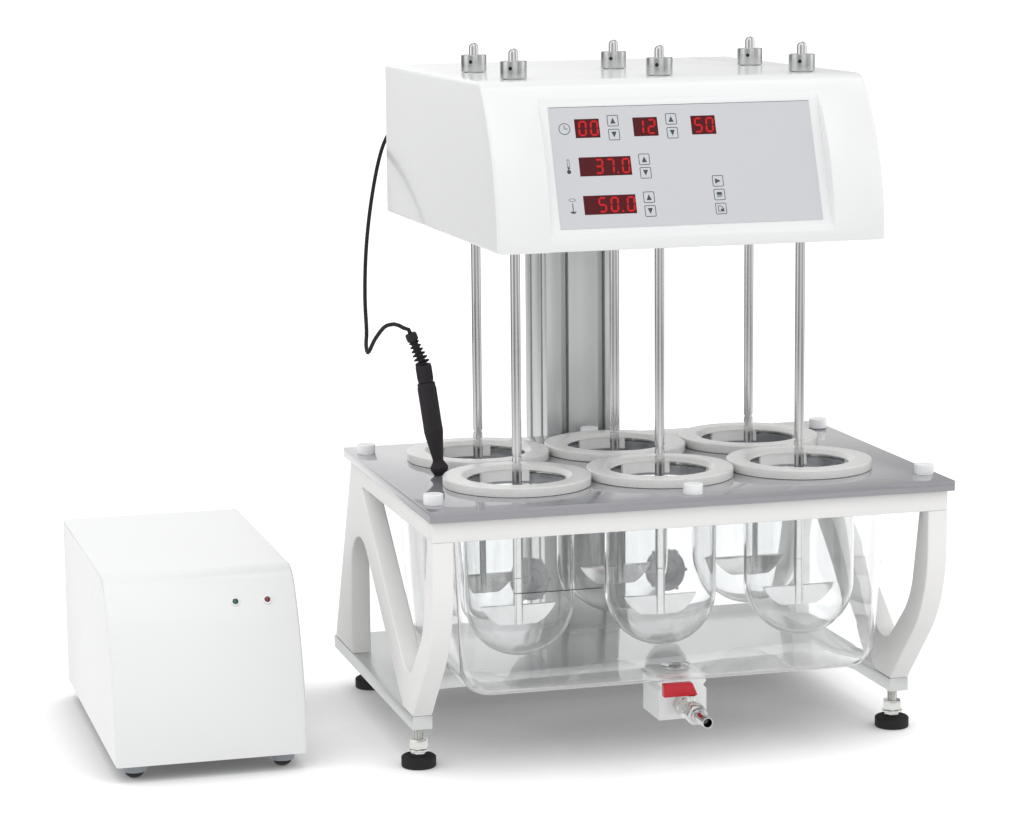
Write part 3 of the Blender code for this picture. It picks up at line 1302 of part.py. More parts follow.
def build_drain_valve():
    """Ball valve along -Y: thread, hexagon, round body with the stem boss, then the outlet hexagon."""
    face = SEAT_GAP
    place = (DRAIN_X, valve_front(), VALVE_HEIGHT)
    turn = (math.radians(90), 0, 0)
    profile = [
        (0, VALVE_BODY_LENGTH), (VALVE_BALL_RADIUS, VALVE_BODY_LENGTH),
        (VALVE_BALL_RADIUS, face + CUT_OVERRUN), (VALVE_THREAD_RADIUS, face),
        (VALVE_THREAD_RADIUS, -VALVE_THREAD_LENGTH), (0, -VALVE_THREAD_LENGTH),
    ]
    valve = turned("drain_valve", profile, FITTING_SIDES, ZINC, place=place, turn=turn)
    outlet_middle = VALVE_BODY_LENGTH - OUTLET_HEX_SETBACK - OUTLET_HEX_LENGTH / 2
    hexagons = ((face + VALVE_HEX_LENGTH / 2, VALVE_HEX_LENGTH), (outlet_middle, OUTLET_HEX_LENGTH))
    for index, (along, length) in enumerate(hexagons):
        ring = extruded(
            f"valve_hexagon_{index}", [hexagon(VALVE_FLATS)], length,
            place=(DRAIN_X, valve_front() - along, VALVE_HEIGHT), turn=turn,
        )
        join(valve, ring)
    stem = posts(
        "valve_stem", [(DRAIN_X, valve_front() - STEM_SETBACK)], STEM_RADIUS, VALVE_HEIGHT,
        STEM_TOP - SEAT_GAP, SHAFT_SIDES,
    )
    join(valve, stem)


def build_valve_lever():
    """Red grip that caps the stem; closed it lies across the flow, towards -X."""
    outline = [
        (-LEVER_LENGTH, 0), (LEVER_HEEL, 0), (LEVER_HEEL - LEVER_SLOPE, LEVER_HEIGHT),
        (-LEVER_LENGTH, LEVER_HEIGHT),
    ]
    lever = extruded(
        "valve_lever", [outline], LEVER_THICKNESS, RED_PLASTIC,
        place=(DRAIN_X, valve_front() - STEM_SETBACK, STEM_TOP), turn=FRONT_VIEW,
    )
    bevel(lever, LEVER_EDGE)


def build_hose_nozzle():
    start = VALVE_BODY_LENGTH + SEAT_GAP
    end = start + NOZZLE_LENGTH
    shoulder = start + NOZZLE_HEX_LENGTH
    place = (DRAIN_X, valve_front(), VALVE_HEIGHT)
    turn = (math.radians(90), 0, 0)
    profile = [
        (NOZZLE_BORE_RADIUS, end), (NOZZLE_RADIUS, end), (NOZZLE_RADIUS, start), (NOZZLE_BORE_RADIUS, start),
    ]
    nozzle = turned("hose_nozzle", profile, FITTING_SIDES, STEEL, closed=True, place=place, turn=turn)
    middle_radius = (NOZZLE_BORE_RADIUS + NOZZLE_RADIUS) / 2
    ring = extruded(
        "nozzle_hexagon", [hexagon(VALVE_FLATS), polygon(middle_radius, FITTING_SIDES)], NOZZLE_HEX_LENGTH,
        place=(DRAIN_X, valve_front() - (start + shoulder) / 2, VALVE_HEIGHT), turn=turn,
    )
    join(nozzle, ring)


def probe_axis():
    """Direction up the probe: it leans to the left out of its hole."""
    return Vector((-math.sin(PROBE_LEAN), 0, math.cos(PROBE_LEAN)))


def probe_foot():
    """Middle of the grip's lower end, just clear of the plate."""
    lift = GRIP_FOOT_RADIUS * math.tan(PROBE_LEAN) + SEAT_GAP
    return Vector((PROBE_X, PROBE_Y, PLATE_TOP + lift))


def relief_base():
    return probe_foot() + probe_axis() * GRIP_LENGTH


def relief_axis():
    return Vector((-math.sin(RELIEF_LEAN), 0, math.cos(RELIEF_LEAN)))


def build_temperature_probe():
    groove = GRIP_TOP_HEIGHT + GRIP_GROOVE
    profile = [
        (0, GRIP_LENGTH), (GRIP_SOCKET_RADIUS, GRIP_LENGTH), (GRIP_SOCKET_RADIUS, groove + GRIP_GROOVE),
        (GRIP_SOCKET_RADIUS - GRIP_GROOVE, groove), (GRIP_TOP_RADIUS, GRIP_TOP_HEIGHT),
        (GRIP_BELLY_RADIUS, GRIP_BELLY_HEIGHT), (GRIP_NECK_RADIUS, GRIP_NECK_HEIGHT),
        (GRIP_GUARD_RADIUS, GRIP_GUARD_HEIGHT), (GRIP_FOOT_RADIUS, 0), (SENSOR_RADIUS, 0),
        (SENSOR_RADIUS, -SENSOR_DEPTH), (0, -SENSOR_DEPTH - SENSOR_RADIUS),
    ]
    probe = turned(
        "temperature_probe", profile, SHAFT_SIDES, BLACK_PLASTIC, place=probe_foot(),
        turn=(0, -PROBE_LEAN, 0),
    )
    relief = turned(
        "strain_relief", relief_profile(), SHAFT_SIDES, place=relief_base(), turn=(0, -RELIEF_LEAN, 0),
    )
    join(probe, relief)


def relief_profile():
    """End ring, then sharp ridges on a thin core that widen towards the grip."""
    ring_low = RELIEF_LENGTH - RELIEF_RING_LENGTH
    step = ring_low / RELIEF_RIBS
    profile = [
        (0, RELIEF_LENGTH), (RELIEF_RING_RADIUS, RELIEF_LENGTH), (RELIEF_RING_RADIUS, ring_low),
        (RELIEF_CORE_RADIUS, ring_low),
    ]
    for index in range(RELIEF_RIBS):
        radius = RELIEF_TIP_RADIUS + (RELIEF_BASE_RADIUS - RELIEF_TIP_RADIUS) * index / (RELIEF_RIBS - 1)
        ridge = ring_low - step * (index + 1) + step / 2
        profile += [(radius, ridge), (RELIEF_CORE_RADIUS, ridge - step / 2)]
    return profile + [(RELIEF_CORE_RADIUS, -RELIEF_CORE_RADIUS), (0, -RELIEF_CORE_RADIUS)]


def smooth_route(points, spacing):
    """Evenly spaced points on the Catmull-Rom curve through the route's points."""
    dense = []
    padded = [points[0] * 2 - points[1]] + points + [points[-1] * 2 - points[-2]]
    for before, start, end, after in zip(padded, padded[1:], padded[2:], padded[3:]):
        count = max(2, round((end - start).length / spacing * CORD_DENSITY))
        for step in range(count):
            t = step / count
            dense.append((
                start * 2 + (end - before) * t + (before * 2 - start * 5 + end * 4 - after) * t ** 2
                + (start * 3 - before - end * 3 + after) * t ** 3
            ) / 2)
    dense.append(points[-1])
    lengths = [0.0]
    for first, second in zip(dense, dense[1:]):
        lengths.append(lengths[-1] + (second - first).length)
    count = round(lengths[-1] / spacing)
    route = []
    index = 0
    for step in range(count + 1):
        target = lengths[-1] * step / count
        while index < len(dense) - 2 and lengths[index + 1] < target:
            index += 1
        share = (target - lengths[index]) / (lengths[index + 1] - lengths[index])
        route.append(dense[index].lerp(dense[index + 1], share))
    return route


def gland_mouth():
    return Vector((GLAND_X, HEAD_REAR + SEAT_GAP + GLAND_LENGTH, GLAND_HEIGHT))


def build_probe_cord():
    start = relief_base() + relief_axis() * (RELIEF_LENGTH + SEAT_GAP)
    leave = start + relief_axis() * CORD_LEAD
    end = gland_mouth() + Vector((0, SEAT_GAP, 0))
    arrive = end + Vector((0, CORD_LEAD, 0))
    middle = [Vector(point) for point in CORD_ROUTE]
    route = [start] + smooth_route([leave] + middle + [arrive], CORD_POINT_SPACING) + [end]
    curve = bpy.data.curves.new("probe_cord", "CURVE")
    curve.dimensions = "3D"
    curve.bevel_depth = CORD_RADIUS
    curve.bevel_resolution = 2
    curve.use_fill_caps = True
    spline = curve.splines.new("POLY")
    spline.points.add(len(route) - 1)
    for point, place in zip(spline.points, route):
        point.co = (*place, 1)
    add_object("probe_cord", curve, BLACK_RUBBER)


def build_cable_gland():
    """Nylon gland through the rear wall of the head, its mouth towards +Y."""
    thread = GLAND_THREAD_RADIUS
    inside = -HEAD_WALL - GLAND_NUT_LENGTH
    outer = SEAT_GAP
    profile = [
        (0, GLAND_LENGTH), (thread, GLAND_LENGTH), (GLAND_CAP_RADIUS, GLAND_LENGTH - GLAND_TAPER),
        (GLAND_CAP_RADIUS, GLAND_NUT_LENGTH), (GLAND_RADIUS, GLAND_NUT_LENGTH), (GLAND_RADIUS, outer),
        (thread, outer), (thread, inside), (0, inside),
    ]
    turned(
        "cable_gland", profile, SHAFT_SIDES, GREY_PLASTIC, place=(GLAND_X, HEAD_REAR, GLAND_HEIGHT),
        turn=(math.radians(-90), 0, 0),
    )


def heater_outline(depth, low):
    """The heater box from the side: upright foot, long front curve, small brow, flat top."""
    top = HEATER_LIFT + HEATER_HEIGHT - depth
    start = HEATER_LIFT + HEATER_CURVE_START
    radius = HEATER_CURVE_RADIUS - depth
    brow_radius = HEATER_BROW_RADIUS - depth
    center_y = HEATER_CURVE_RADIUS
    brow_z = top - brow_radius
    brow_y = center_y - math.sqrt((radius - brow_radius) ** 2 - (brow_z - start) ** 2)
    touch = math.atan2(brow_z - start, center_y - brow_y)
    points = [(depth, low)]
    for step in range(HEATER_CURVE_STEPS + 1):
        angle = touch * step / HEATER_CURVE_STEPS
        points.append((center_y - radius * math.cos(angle), start + radius * math.sin(angle)))
    for step in range(1, CORNER_STEPS + 1):
        angle = touch + (math.pi / 2 - touch) * step / CORNER_STEPS
        points.append((brow_y - brow_radius * math.cos(angle), brow_z + brow_radius * math.sin(angle)))
    rear = HEATER_DEPTH - depth
    return points + [(rear, top), (rear, low)]


def build_heater_housing():
    shell = extruded(
        "heater_housing", [heater_outline(0, HEATER_LIFT)], HEATER_WIDTH, GLOSS_WHITE, turn=SIDE_VIEW,
        carrier=HEATER,
    )
    inside = extruded(
        "heater_inside", [heater_outline(HEATER_WALL, HEATER_LIFT - CUT_OVERRUN)],
        HEATER_WIDTH - 2 * HEATER_WALL, turn=SIDE_VIEW, carrier=HEATER,
    )
    cut(shell, inside)
    seat_y = HEATER_CURVE_RADIUS * (1 - math.cos(LAMP_ANGLE))
    seat_z = HEATER_LIFT + HEATER_CURVE_START + HEATER_CURVE_RADIUS * math.sin(LAMP_ANGLE)
    for index, share in enumerate(LAMP_SHARES):
        lamp = posts(
            f"lamp_{index + 1}", [(0, 0)], LAMP_RADIUS, -LAMP_SINK, LAMP_HEIGHT, SHAFT_SIDES,
            place=(share * HEATER_WIDTH - HEATER_WIDTH / 2, seat_y, seat_z),
            turn=(math.radians(90) - LAMP_ANGLE, 0, 0), carrier=HEATER,
        )
        join(shell, lamp)


def build_heater_pan():
    """Floor pan that closes the heater box, with its four feet."""
    gap = HEATER_WALL + SEAT_GAP
    half = HEATER_WIDTH / 2 - gap
    pan = box(
        "heater_pan", (-half, gap, HEATER_LIFT), (half, HEATER_DEPTH - gap, HEATER_LIFT + PAN_THICKNESS),
        GREY_PLASTIC, carrier=HEATER,
    )
    across = HEATER_WIDTH / 2 - HEATER_FOOT_INSET
    front, rear = HEATER_FOOT_INSET, HEATER_DEPTH - HEATER_FOOT_INSET
    places = [(x, y) for x in (-across, across) for y in (front, rear)]
    cone_low = HEATER_LIFT - HEATER_FOOT_CONE_HEIGHT
    cones = posts(
        "heater_foot_cones", places, HEATER_FOOT_LOW_RADIUS, cone_low, HEATER_LIFT + SEAT_GAP, COLLAR_SIDES,
        top_radius=HEATER_FOOT_TOP_RADIUS, carrier=HEATER,
    )
    domes = posts(
        "heater_foot_domes", places, HEATER_FOOT_TIP_RADIUS, 0, cone_low + SEAT_GAP, COLLAR_SIDES,
        top_radius=HEATER_FOOT_BALL_RADIUS, carrier=HEATER,
    )
    join(pan, cones, domes)


def main():
    build_base_plate()
    build_levelling_feet()
    build_side_frames()
    build_rails()
    build_vessel_plate()
    build_vessels()
    build_centering_rings()
    build_paddles()
    build_collars()
    build_head_housing()
    build_control_panel()
    build_head_chassis()
    build_spindles()
    build_drive_motor()
    build_motor_pulley()
    build_drive_belt()
    build_column()
    build_water_bath()
    build_bath_ports()
    build_drain_block()
    build_drain_flange()
    build_drain_valve()
    build_valve_lever()
    build_hose_nozzle()
    build_temperature_probe()
    build_probe_cord()
    build_cable_gland()
    build_heater_housing()
    build_heater_pan()


main()
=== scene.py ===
import math

import bmesh
import bpy
from mathutils import Matrix, Vector


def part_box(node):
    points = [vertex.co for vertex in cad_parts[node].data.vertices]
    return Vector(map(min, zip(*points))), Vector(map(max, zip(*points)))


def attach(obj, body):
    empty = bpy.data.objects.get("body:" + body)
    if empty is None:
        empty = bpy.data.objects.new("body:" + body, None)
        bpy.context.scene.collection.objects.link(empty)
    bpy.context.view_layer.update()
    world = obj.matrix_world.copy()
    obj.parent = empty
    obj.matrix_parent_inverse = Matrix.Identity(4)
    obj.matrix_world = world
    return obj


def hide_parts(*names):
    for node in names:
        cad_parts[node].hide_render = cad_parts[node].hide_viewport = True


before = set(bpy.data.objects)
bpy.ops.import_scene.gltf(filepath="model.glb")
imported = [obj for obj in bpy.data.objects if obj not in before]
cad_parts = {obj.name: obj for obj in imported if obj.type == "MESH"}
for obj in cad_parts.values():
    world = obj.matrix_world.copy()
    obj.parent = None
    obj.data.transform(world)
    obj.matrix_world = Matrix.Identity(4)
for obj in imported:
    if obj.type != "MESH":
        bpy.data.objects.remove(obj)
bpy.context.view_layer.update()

bl_info = {
    "name": "Tablet Dissolution Tester",
    "version": (1, 0, 0),
    "blender": (4, 5, 0),
    "location": "View3D > Sidebar > Tester",
    "description": "Six-station paddle tester with a clear water bath and a separate heater box",
    "category": "Object",
}

STAND = "stand"
STATIONS = range(1, 7)
FEET = ("front_left", "front_right", "rear_left", "rear_right")
SIDES = (("left", -1), ("right", 1))
# How far a cutter reaches past what it cuts, the clearance where pieces touch, and what counts as no length
OVERRUN = 0.002
GAP = 0.0003
TINY = 0.000002
SHARP_ANGLE = 32


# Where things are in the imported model

def span(node):
    low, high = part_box(node)
    return Vector(low), Vector(high)


def middle(node):
    low, high = span(node)
    return (low + high) / 2


TESTER_X = middle("front_rail").x
HEAD_LOW, HEAD_HIGH = span("head_housing")
RING_TOP = span("centering_ring_1")[1].z
CAP_HEIGHT = 0.0098
PLATE_TOP = span("vessel_plate")[1].z - CAP_HEIGHT


# Sizes and colours that a user would change

def metres(name, description, default):
    return bpy.props.FloatProperty(name=name, description=description, default=default, unit="LENGTH")


class TesterSizes(bpy.types.PropertyGroup):
    head_curve: metres("Head curve", "Radius of the head's curved front", 0.225)
    head_brow: metres("Head brow", "Radius between the head's front and its top", 0.022)
    head_edge: metres("Head edge", "Rounding along the head's sides", 0.0035)
    sheet_wall: metres("Sheet wall", "Thickness of the head's skin", 0.003)
    panel_low: metres("Panel low edge", "Way up the curve to the flat pan's low edge", 0.0105)
    panel_high: metres("Panel high edge", "Way up the curve to the flat pan's high edge", 0.149)
    pan_margin: metres("Pan margin", "Painted margin beside the foil", 0.0105)
    pan_draft: metres("Pan draft", "Slant of the flat pan's walls", 0.0014)
    foil_low: metres("Foil low edge", "Way up the flat pan to the foil's low edge", 0.0108)
    foil_high: metres("Foil high edge", "Way up the flat pan to the foil's high edge", 0.1273)
    moulding_edge: metres("Moulding edge", "Rounding along the frames and rails", 0.0016)
    glass_wall: metres("Glass wall", "Thickness of a vessel's wall", 0.0018)
    bath_wall: metres("Bath wall", "Thickness of the bath's wall", 0.003)
    shaft_radius: metres("Shaft radius", "Radius of a paddle's shaft", 0.00475)
    key_side: metres("Key side", "Side of a printed key", 0.0109)
    print_line: metres("Printed line", "Width of the printed lines", 0.00065)


def colour(name, description, default):
    return bpy.props.FloatVectorProperty(
        name=name, description=description, default=default, size=3, min=0, max=1, subtype="COLOR")


class TesterColours(bpy.types.PropertyGroup):
    paint: colour("Paint", "Gloss paint of head and heater", (0.86, 0.865, 0.87))
    moulding: colour("Moulding", "Frames and rails", (0.915, 0.91, 0.895))
    plate: colour("Plate", "Vessel plate", (0.305, 0.305, 0.33))
    ring: colour("Rings", "Centering rings", (0.90, 0.90, 0.885))
    caps: colour("Caps", "Plate caps", (0.93, 0.94, 0.96))
    aluminium: colour("Aluminium", "Column and base", (0.74, 0.75, 0.75))
    steel: colour("Steel", "Shafts and nozzle", (0.70, 0.70, 0.70))
    zinc: colour("Zinc", "Studs and valve", (0.72, 0.73, 0.70))
    foil: colour("Foil", "Control panel", (0.60, 0.61, 0.635))
    # The ink colour also paints the shadow strip along the foil's top edge
    ink: colour("Ink", "Printed symbols", (0.040, 0.065, 0.095))
    window: colour("Windows", "Display windows", (0.085, 0.004, 0.007))
    digit: colour("Digits", "Lit digits", (1.0, 0.020, 0.022))
    lever: colour("Lever", "Drain lever", (0.55, 0.006, 0.020))
    block: colour("Block", "Drain block", (0.91, 0.92, 0.925))
    black: colour("Black", "Grip, cord and rubber", (0.008, 0.007, 0.0075))
    fitting: colour("Fittings", "Bath ports and gland", (0.115, 0.125, 0.14))


def sizes():
    return bpy.context.scene.tester_sizes


def colours():
    return bpy.context.scene.tester_colours


# Nodes and finishes

def fill(tree, node, given):
    """Feeds a node's inputs, each from a number, a colour or another node's socket."""
    for socket, value in given.items():
        if isinstance(value, bpy.types.NodeSocket):
            tree.links.new(value, node.inputs[socket])
        else:
            node.inputs[socket].default_value = value


def add(tree, kind, given=None, **settings):
    """A new node with its settings and what its inputs are given."""
    node = tree.nodes.new(kind)
    for name, value in settings.items():
        setattr(node, name, value)
    fill(tree, node, given or {})
    return node


def maths(tree, operation, *given, clamp=False):
    """The result of a Math node."""
    node = add(tree, "ShaderNodeMath", dict(enumerate(given)), operation=operation, use_clamp=clamp)
    return node.outputs[0]


def new_group(name, takes, gives):
    """A node group with these sockets, given as name and kind."""
    group = bpy.data.node_groups.new(name, "ShaderNodeTree")
    for way, sockets in (("INPUT", takes), ("OUTPUT", gives)):
        for socket, kind in sockets.items():
            group.interface.new_socket(socket, in_out=way, socket_type=f"NodeSocket{kind}")
    return group


def grain_group():
    """Fine grain: a roughness that varies and a height for relief."""
    group = bpy.data.node_groups.get("fine_grain")
    if group:
        return group
    group = new_group("fine_grain", {
        "Vector": "Vector", "Scale": "Float", "Roughness": "Float", "Spread": "Float", "Depth": "Float",
    }, {"Roughness": "Float", "Height": "Float"})
    given = add(group, "NodeGroupInput").outputs
    noise = add(group, "ShaderNodeTexNoise", {
        "Vector": given["Vector"], "Scale": given["Scale"], "Detail": 4.0})
    centred = maths(group, "SUBTRACT", noise.outputs["Fac"], 0.5)
    rough = maths(group, "MULTIPLY_ADD", centred, given["Spread"], given["Roughness"])
    high = maths(group, "MULTIPLY", noise.outputs["Fac"], given["Depth"])
    add(group, "NodeGroupOutput", {"Roughness": rough, "Height": high})
    return group


def drift_group():
    """Slow drift of a colour's tone over a surface."""
    group = bpy.data.node_groups.get("tone_drift")
    if group:
        return group
    group = new_group("tone_drift", {
        "Vector": "Vector", "Color": "Color", "Scale": "Float", "Amount": "Float"}, {"Color": "Color"})
    given = add(group, "NodeGroupInput").outputs
    noise = add(group, "ShaderNodeTexNoise", {
        "Vector": given["Vector"], "Scale": given["Scale"], "Detail": 2.0})
    base = maths(group, "MULTIPLY_ADD", given["Amount"], -0.5, 1.0)
    tone = maths(group, "MULTIPLY_ADD", noise.outputs["Fac"], given["Amount"], base)
    shade = add(group, "ShaderNodeHueSaturation", {"Value": tone, "Color": given["Color"]})
    add(group, "NodeGroupOutput", {"Color": shade.outputs["Color"]})
    return group


def finish(name, tone, roughness, metallic=0.0, scale=700.0, spread=0.06, depth=0.2, relief=0.0002,
           drift=0.03, drift_scale=9.0, stretch=(1, 1, 1), plain=None):
    """A surface with drifting tone and fine grain; plain sets shader sockets that are the same all over."""
    material = bpy.data.materials.get(name)
    if material:
        return material
    material = bpy.data.materials.new(name)
    material.use_nodes = True
    tree = material.node_tree
    place = add(tree, "ShaderNodeTexCoord").outputs["Object"]
    spot = add(tree, "ShaderNodeMapping", {"Vector": place, "Scale": stretch}).outputs["Vector"]
    grain = add(tree, "ShaderNodeGroup", {
        "Vector": spot, "Scale": scale, "Roughness": roughness, "Spread": spread, "Depth": depth,
    }, node_tree=grain_group())
    tint = add(tree, "ShaderNodeGroup", {
        "Vector": spot, "Color": (*tone, 1.0), "Scale": drift_scale, "Amount": drift,
    }, node_tree=drift_group())
    bump = add(tree, "ShaderNodeBump", {
        "Strength": 1.0, "Distance": relief, "Height": grain.outputs["Height"]})
    fill(tree, tree.nodes["Principled BSDF"], {
        "Base Color": tint.outputs["Color"], "Roughness": grain.outputs["Roughness"],
        "Normal": bump.outputs["Normal"], "Metallic": metallic, **(plain or {})})
    return material


def clear_finish(name, tone, index, rough=0.015, through=1.0):
    """A see-through wall that lets the light of the room and the lamps pass straight on."""
    material = bpy.data.materials.get(name)
    if material:
        return material
    material = finish(name, tone, rough, scale=60.0, spread=0.01, depth=0.3, relief=0.000008, drift=0.01,
                      plain={"Transmission Weight": through, "IOR": index})
    tree = material.node_tree
    path = add(tree, "ShaderNodeLightPath").outputs
    lighting = maths(tree, "MAXIMUM", path["Is Shadow Ray"], path["Is Diffuse Ray"])
    passing = add(tree, "ShaderNodeBsdfTransparent", {"Color": (0.99, 0.992, 0.992, 1.0)})
    mix = add(tree, "ShaderNodeMixShader", {
        0: lighting, 1: tree.nodes["Principled BSDF"].outputs[0], 2: passing.outputs[0]})
    fill(tree, tree.nodes["Material Output"], {"Surface": mix.outputs[0]})
    return material


def toned(tone, share):
    """A colour with each part at this share."""
    return [share * part for part in tone]


def gloss_paint():
    return finish("gloss_paint", colours().paint, 0.24, scale=240, spread=0.03, depth=0.3, relief=0.00003,
                  drift=0.012, plain={"Coat Weight": 0.4, "Coat Roughness": 0.05})


def frame_moulding():
    return finish("frame_moulding", colours().moulding, 0.42, scale=1400, spread=0.10, relief=0.0001,
                  drift=0.03)


def plate_sheet():
    return finish("plate_sheet", colours().plate, 0.07, scale=300, spread=0.04, relief=0.00002, drift=0.04,
                  plain={"Coat Weight": 1.0, "Coat Roughness": 0.03})


def ring_plastic():
    return finish("ring_plastic", colours().ring, 0.26, scale=900, spread=0.10, relief=0.00010, drift=0.04,
                  plain={"Subsurface Weight": 0.6, "Subsurface Radius": (0.009, 0.009, 0.008),
                         "Coat Weight": 0.3, "Transmission Weight": 0.15})


def tab_plastic():
    return clear_finish("tab_plastic", (0.97, 0.97, 0.96), 1.40, rough=0.22, through=0.40)


def cap_plastic():
    return finish("cap_plastic", colours().caps, 0.38, scale=1100, spread=0.08, relief=0.00008,
                  plain={"Subsurface Weight": 0.3, "Subsurface Radius": (0.004, 0.004, 0.005)})


def drawn_aluminium():
    return finish("drawn_aluminium", colours().aluminium, 0.36, 0.85, scale=420, spread=0.14, relief=0.00012,
                  drift=0.05, stretch=(1, 1, 0.02))


def sheet_aluminium():
    return finish("sheet_aluminium", toned(colours().aluminium, 0.90), 0.38, 0.8, scale=420, spread=0.14,
                  relief=0.0001, drift=0.05, stretch=(0.03, 1, 1))


def turned_aluminium():
    return finish("turned_aluminium", toned(colours().aluminium, 0.78), 0.24, 0.95, scale=500, spread=0.06,
                  relief=0.00003, drift=0.03, stretch=(0.2, 0.2, 3))


def ground_steel():
    return finish("ground_steel", colours().steel, 0.14, 1.0, scale=500, spread=0.10, relief=0.00008,
                  drift=0.05, stretch=(0.3, 0.3, 2))


def bright_steel():
    return finish("bright_steel", toned(colours().steel, 0.84), 0.10, 1.0, scale=500, spread=0.05,
                  relief=0.00003, drift=0.03)


def zinc_plating():
    return finish("zinc_plating", colours().zinc, 0.22, 1.0, scale=380, spread=0.16, relief=0.0001,
                  drift=0.10, drift_scale=40)


def printed_foil():
    return finish("printed_foil", colours().foil, 0.30, scale=1600, spread=0.08, relief=0.00006, drift=0.02)


# Ink for the printed keys and symbols, which also paints the shadow strip along the foil's top edge
def print_and_shadow_ink():
    return finish("print_and_shadow_ink", colours().ink, 0.35, scale=1600, spread=0.08, relief=0.00002)


def display_window():
    return finish("display_window", colours().window, 0.5, scale=500, spread=0.04, relief=0.00002,
                  plain={"Specular IOR Level": 0.25})


def lit_digit():
    return finish("lit_digit", colours().window, 0.5, scale=500, plain={
        "Emission Color": (*colours().digit, 1.0), "Emission Strength": 0.55, "Specular IOR Level": 0.2})


def lever_plastic():
    return finish("lever_plastic", colours().lever, 0.24, scale=700, spread=0.10, relief=0.00012, drift=0.06)


def block_plastic():
    return finish("block_plastic", colours().block, 0.42, scale=800, spread=0.10, relief=0.00012, drift=0.03)


def black_plastic():
    return finish("black_plastic", colours().black, 0.42, scale=1500, spread=0.16, relief=0.00015, drift=0.2,
                  plain={"Specular IOR Level": 0.3})


def black_rubber():
    return finish("black_rubber", colours().black, 0.52, scale=1200, spread=0.16, relief=0.0002, drift=0.25,
                  plain={"Specular IOR Level": 0.3})


def fitting_plastic():
    return finish("fitting_plastic", colours().fitting, 0.40, scale=900, spread=0.1, relief=0.0001,
                  drift=0.06)


def foot_plastic():
    return finish("foot_plastic", toned(colours().fitting, 2.6), 0.45, scale=900, spread=0.1, relief=0.0001)


def vessel_glass():
    return clear_finish("vessel_glass", (0.975, 0.985, 0.985), 1.47)


def bath_plastic():
    return clear_finish("bath_plastic", (0.985, 0.988, 0.990), 1.49, through=0.975)


# Shapes

def rounded(corners, steps=8):
    """A closed outline whose corners, given as (x, y, radius), are rounded by arcs."""
    points = []
    count = len(corners)
    for index, (x, y, radius) in enumerate(corners):
        here = Vector((x, y))
        if radius <= 0:
            points.append((x, y))
            continue
        back = (Vector(corners[index - 1][:2]) - here).normalized()
        ahead = (Vector(corners[(index + 1) % count][:2]) - here).normalized()
        half = back.angle(ahead) / 2
        centre = here + (back + ahead).normalized() * (radius / math.sin(half))
        first = here + back * (radius / math.tan(half)) - centre
        last = here + ahead * (radius / math.tan(half)) - centre
        turn = first.angle_signed(last)
        for step in range(steps + 1):
            points.append(tuple(centre + Matrix.Rotation(-turn * step / steps, 2) @ first))
    return points


def open_rounded(corners, steps=5):
    """An open profile with rounded inner corners: its two end points stay as they are."""
    points = [corners[0][:2]]
    for before, here, after in zip(corners, corners[1:], corners[2:]):
        if here[2] <= 0:
            points.append(here[:2])
            continue
        three = [(*before[:2], 0), here, (*after[:2], 0)]
        points += rounded(three, steps)[1:-1]
    return points + [corners[-1][:2]]


def mesh_of(name, bm):
    mesh = bpy.data.meshes.new(name)
    bm.to_mesh(mesh)
    bm.free()
    return mesh


def add_to(bm, made, place):
    """Moves a bmesh to its place and adds it to another."""
    bmesh.ops.transform(made, matrix=place, verts=made.verts)
    carrier = mesh_of("carrier", made)
    bm.from_mesh(carrier)
    bpy.data.meshes.remove(carrier)


def soften(bm, edges, width, segments=2, clamp=True):
    """Rounds these edges."""
    bmesh.ops.bevel(bm, geom=edges, offset=width, segments=segments, profile=0.5, affect="EDGES", material=-1,
                    clamp_overlap=clamp)


def spun(bm, profile, steps=64, closed=False, place=Matrix.Identity(4)):
    """Turns (radius, height) points about Z and adds the result to bm."""
    made = bmesh.new()
    kept = [Vector(profile[0])]
    for last, point in zip(profile, profile[1:]):
        if (Vector(point) - Vector(last)).length > TINY:
            kept.append(Vector(point))
    if closed and (kept[0] - kept[-1]).length <= TINY:
        kept.pop()
    turns = [2 * math.pi * step / steps for step in range(steps)]
    rings = [[made.verts.new((radius * math.cos(turn), radius * math.sin(turn), height))
              for turn in (turns if radius > TINY else turns[:1])] for radius, height in kept]
    for first, second in zip(rings, rings[1:] + (rings[:1] if closed else [])):
        for step in range(steps):
            after = (step + 1) % steps
            corners = [first[step % len(first)], first[after % len(first)],
                       second[after % len(second)], second[step % len(second)]]
            corners = list(dict.fromkeys(corners))
            if len(corners) > 2:
                made.faces.new(corners)
    bmesh.ops.recalc_face_normals(made, faces=made.faces)
    add_to(bm, made, place)


def rod(bm, radius, low, high, place, steps=64):
    spun(bm, [(0, high), (radius, high), (radius, low), (0, low)], steps, place=place)


def prism(bm, outline, thickness, place, edge=0.0, segments=2, side_only=False):
    """An outline in local X and Y, as thick as asked and centred, with rounded rims."""
    made = bmesh.new()
    face = made.faces.new([made.verts.new((x, y, -thickness / 2)) for x, y in outline])
    pulled = bmesh.ops.extrude_face_region(made, geom=[face], use_keep_orig=True)
    top = [item for item in pulled["geom"] if isinstance(item, bmesh.types.BMVert)]
    bmesh.ops.translate(made, verts=top, vec=(0, 0, thickness))
    bmesh.ops.recalc_face_normals(made, faces=made.faces)
    if edge > 0:
        rims = [e for e in made.edges if e.calc_face_angle(0) > math.radians(25)]
        if side_only:
            flush = 0.002 * thickness
            rims = [e for e in rims if abs(e.verts[0].co.z - e.verts[1].co.z) < flush]
        soften(made, rims, edge, segments)
    add_to(bm, made, place)


def at(x, y, z=0.0):
    return Matrix.Translation((x, y, z))


def turned(degrees, axis="Z"):
    return Matrix.Rotation(math.radians(degrees), 4, axis)


def side_view(x):
    """Stands an outline drawn in X and Y up in the YZ plane at that X."""
    return at(x, 0) @ Matrix(((0, 0, 1, 0), (1, 0, 0, 0), (0, 1, 0, 0), (0, 0, 0, 1)))


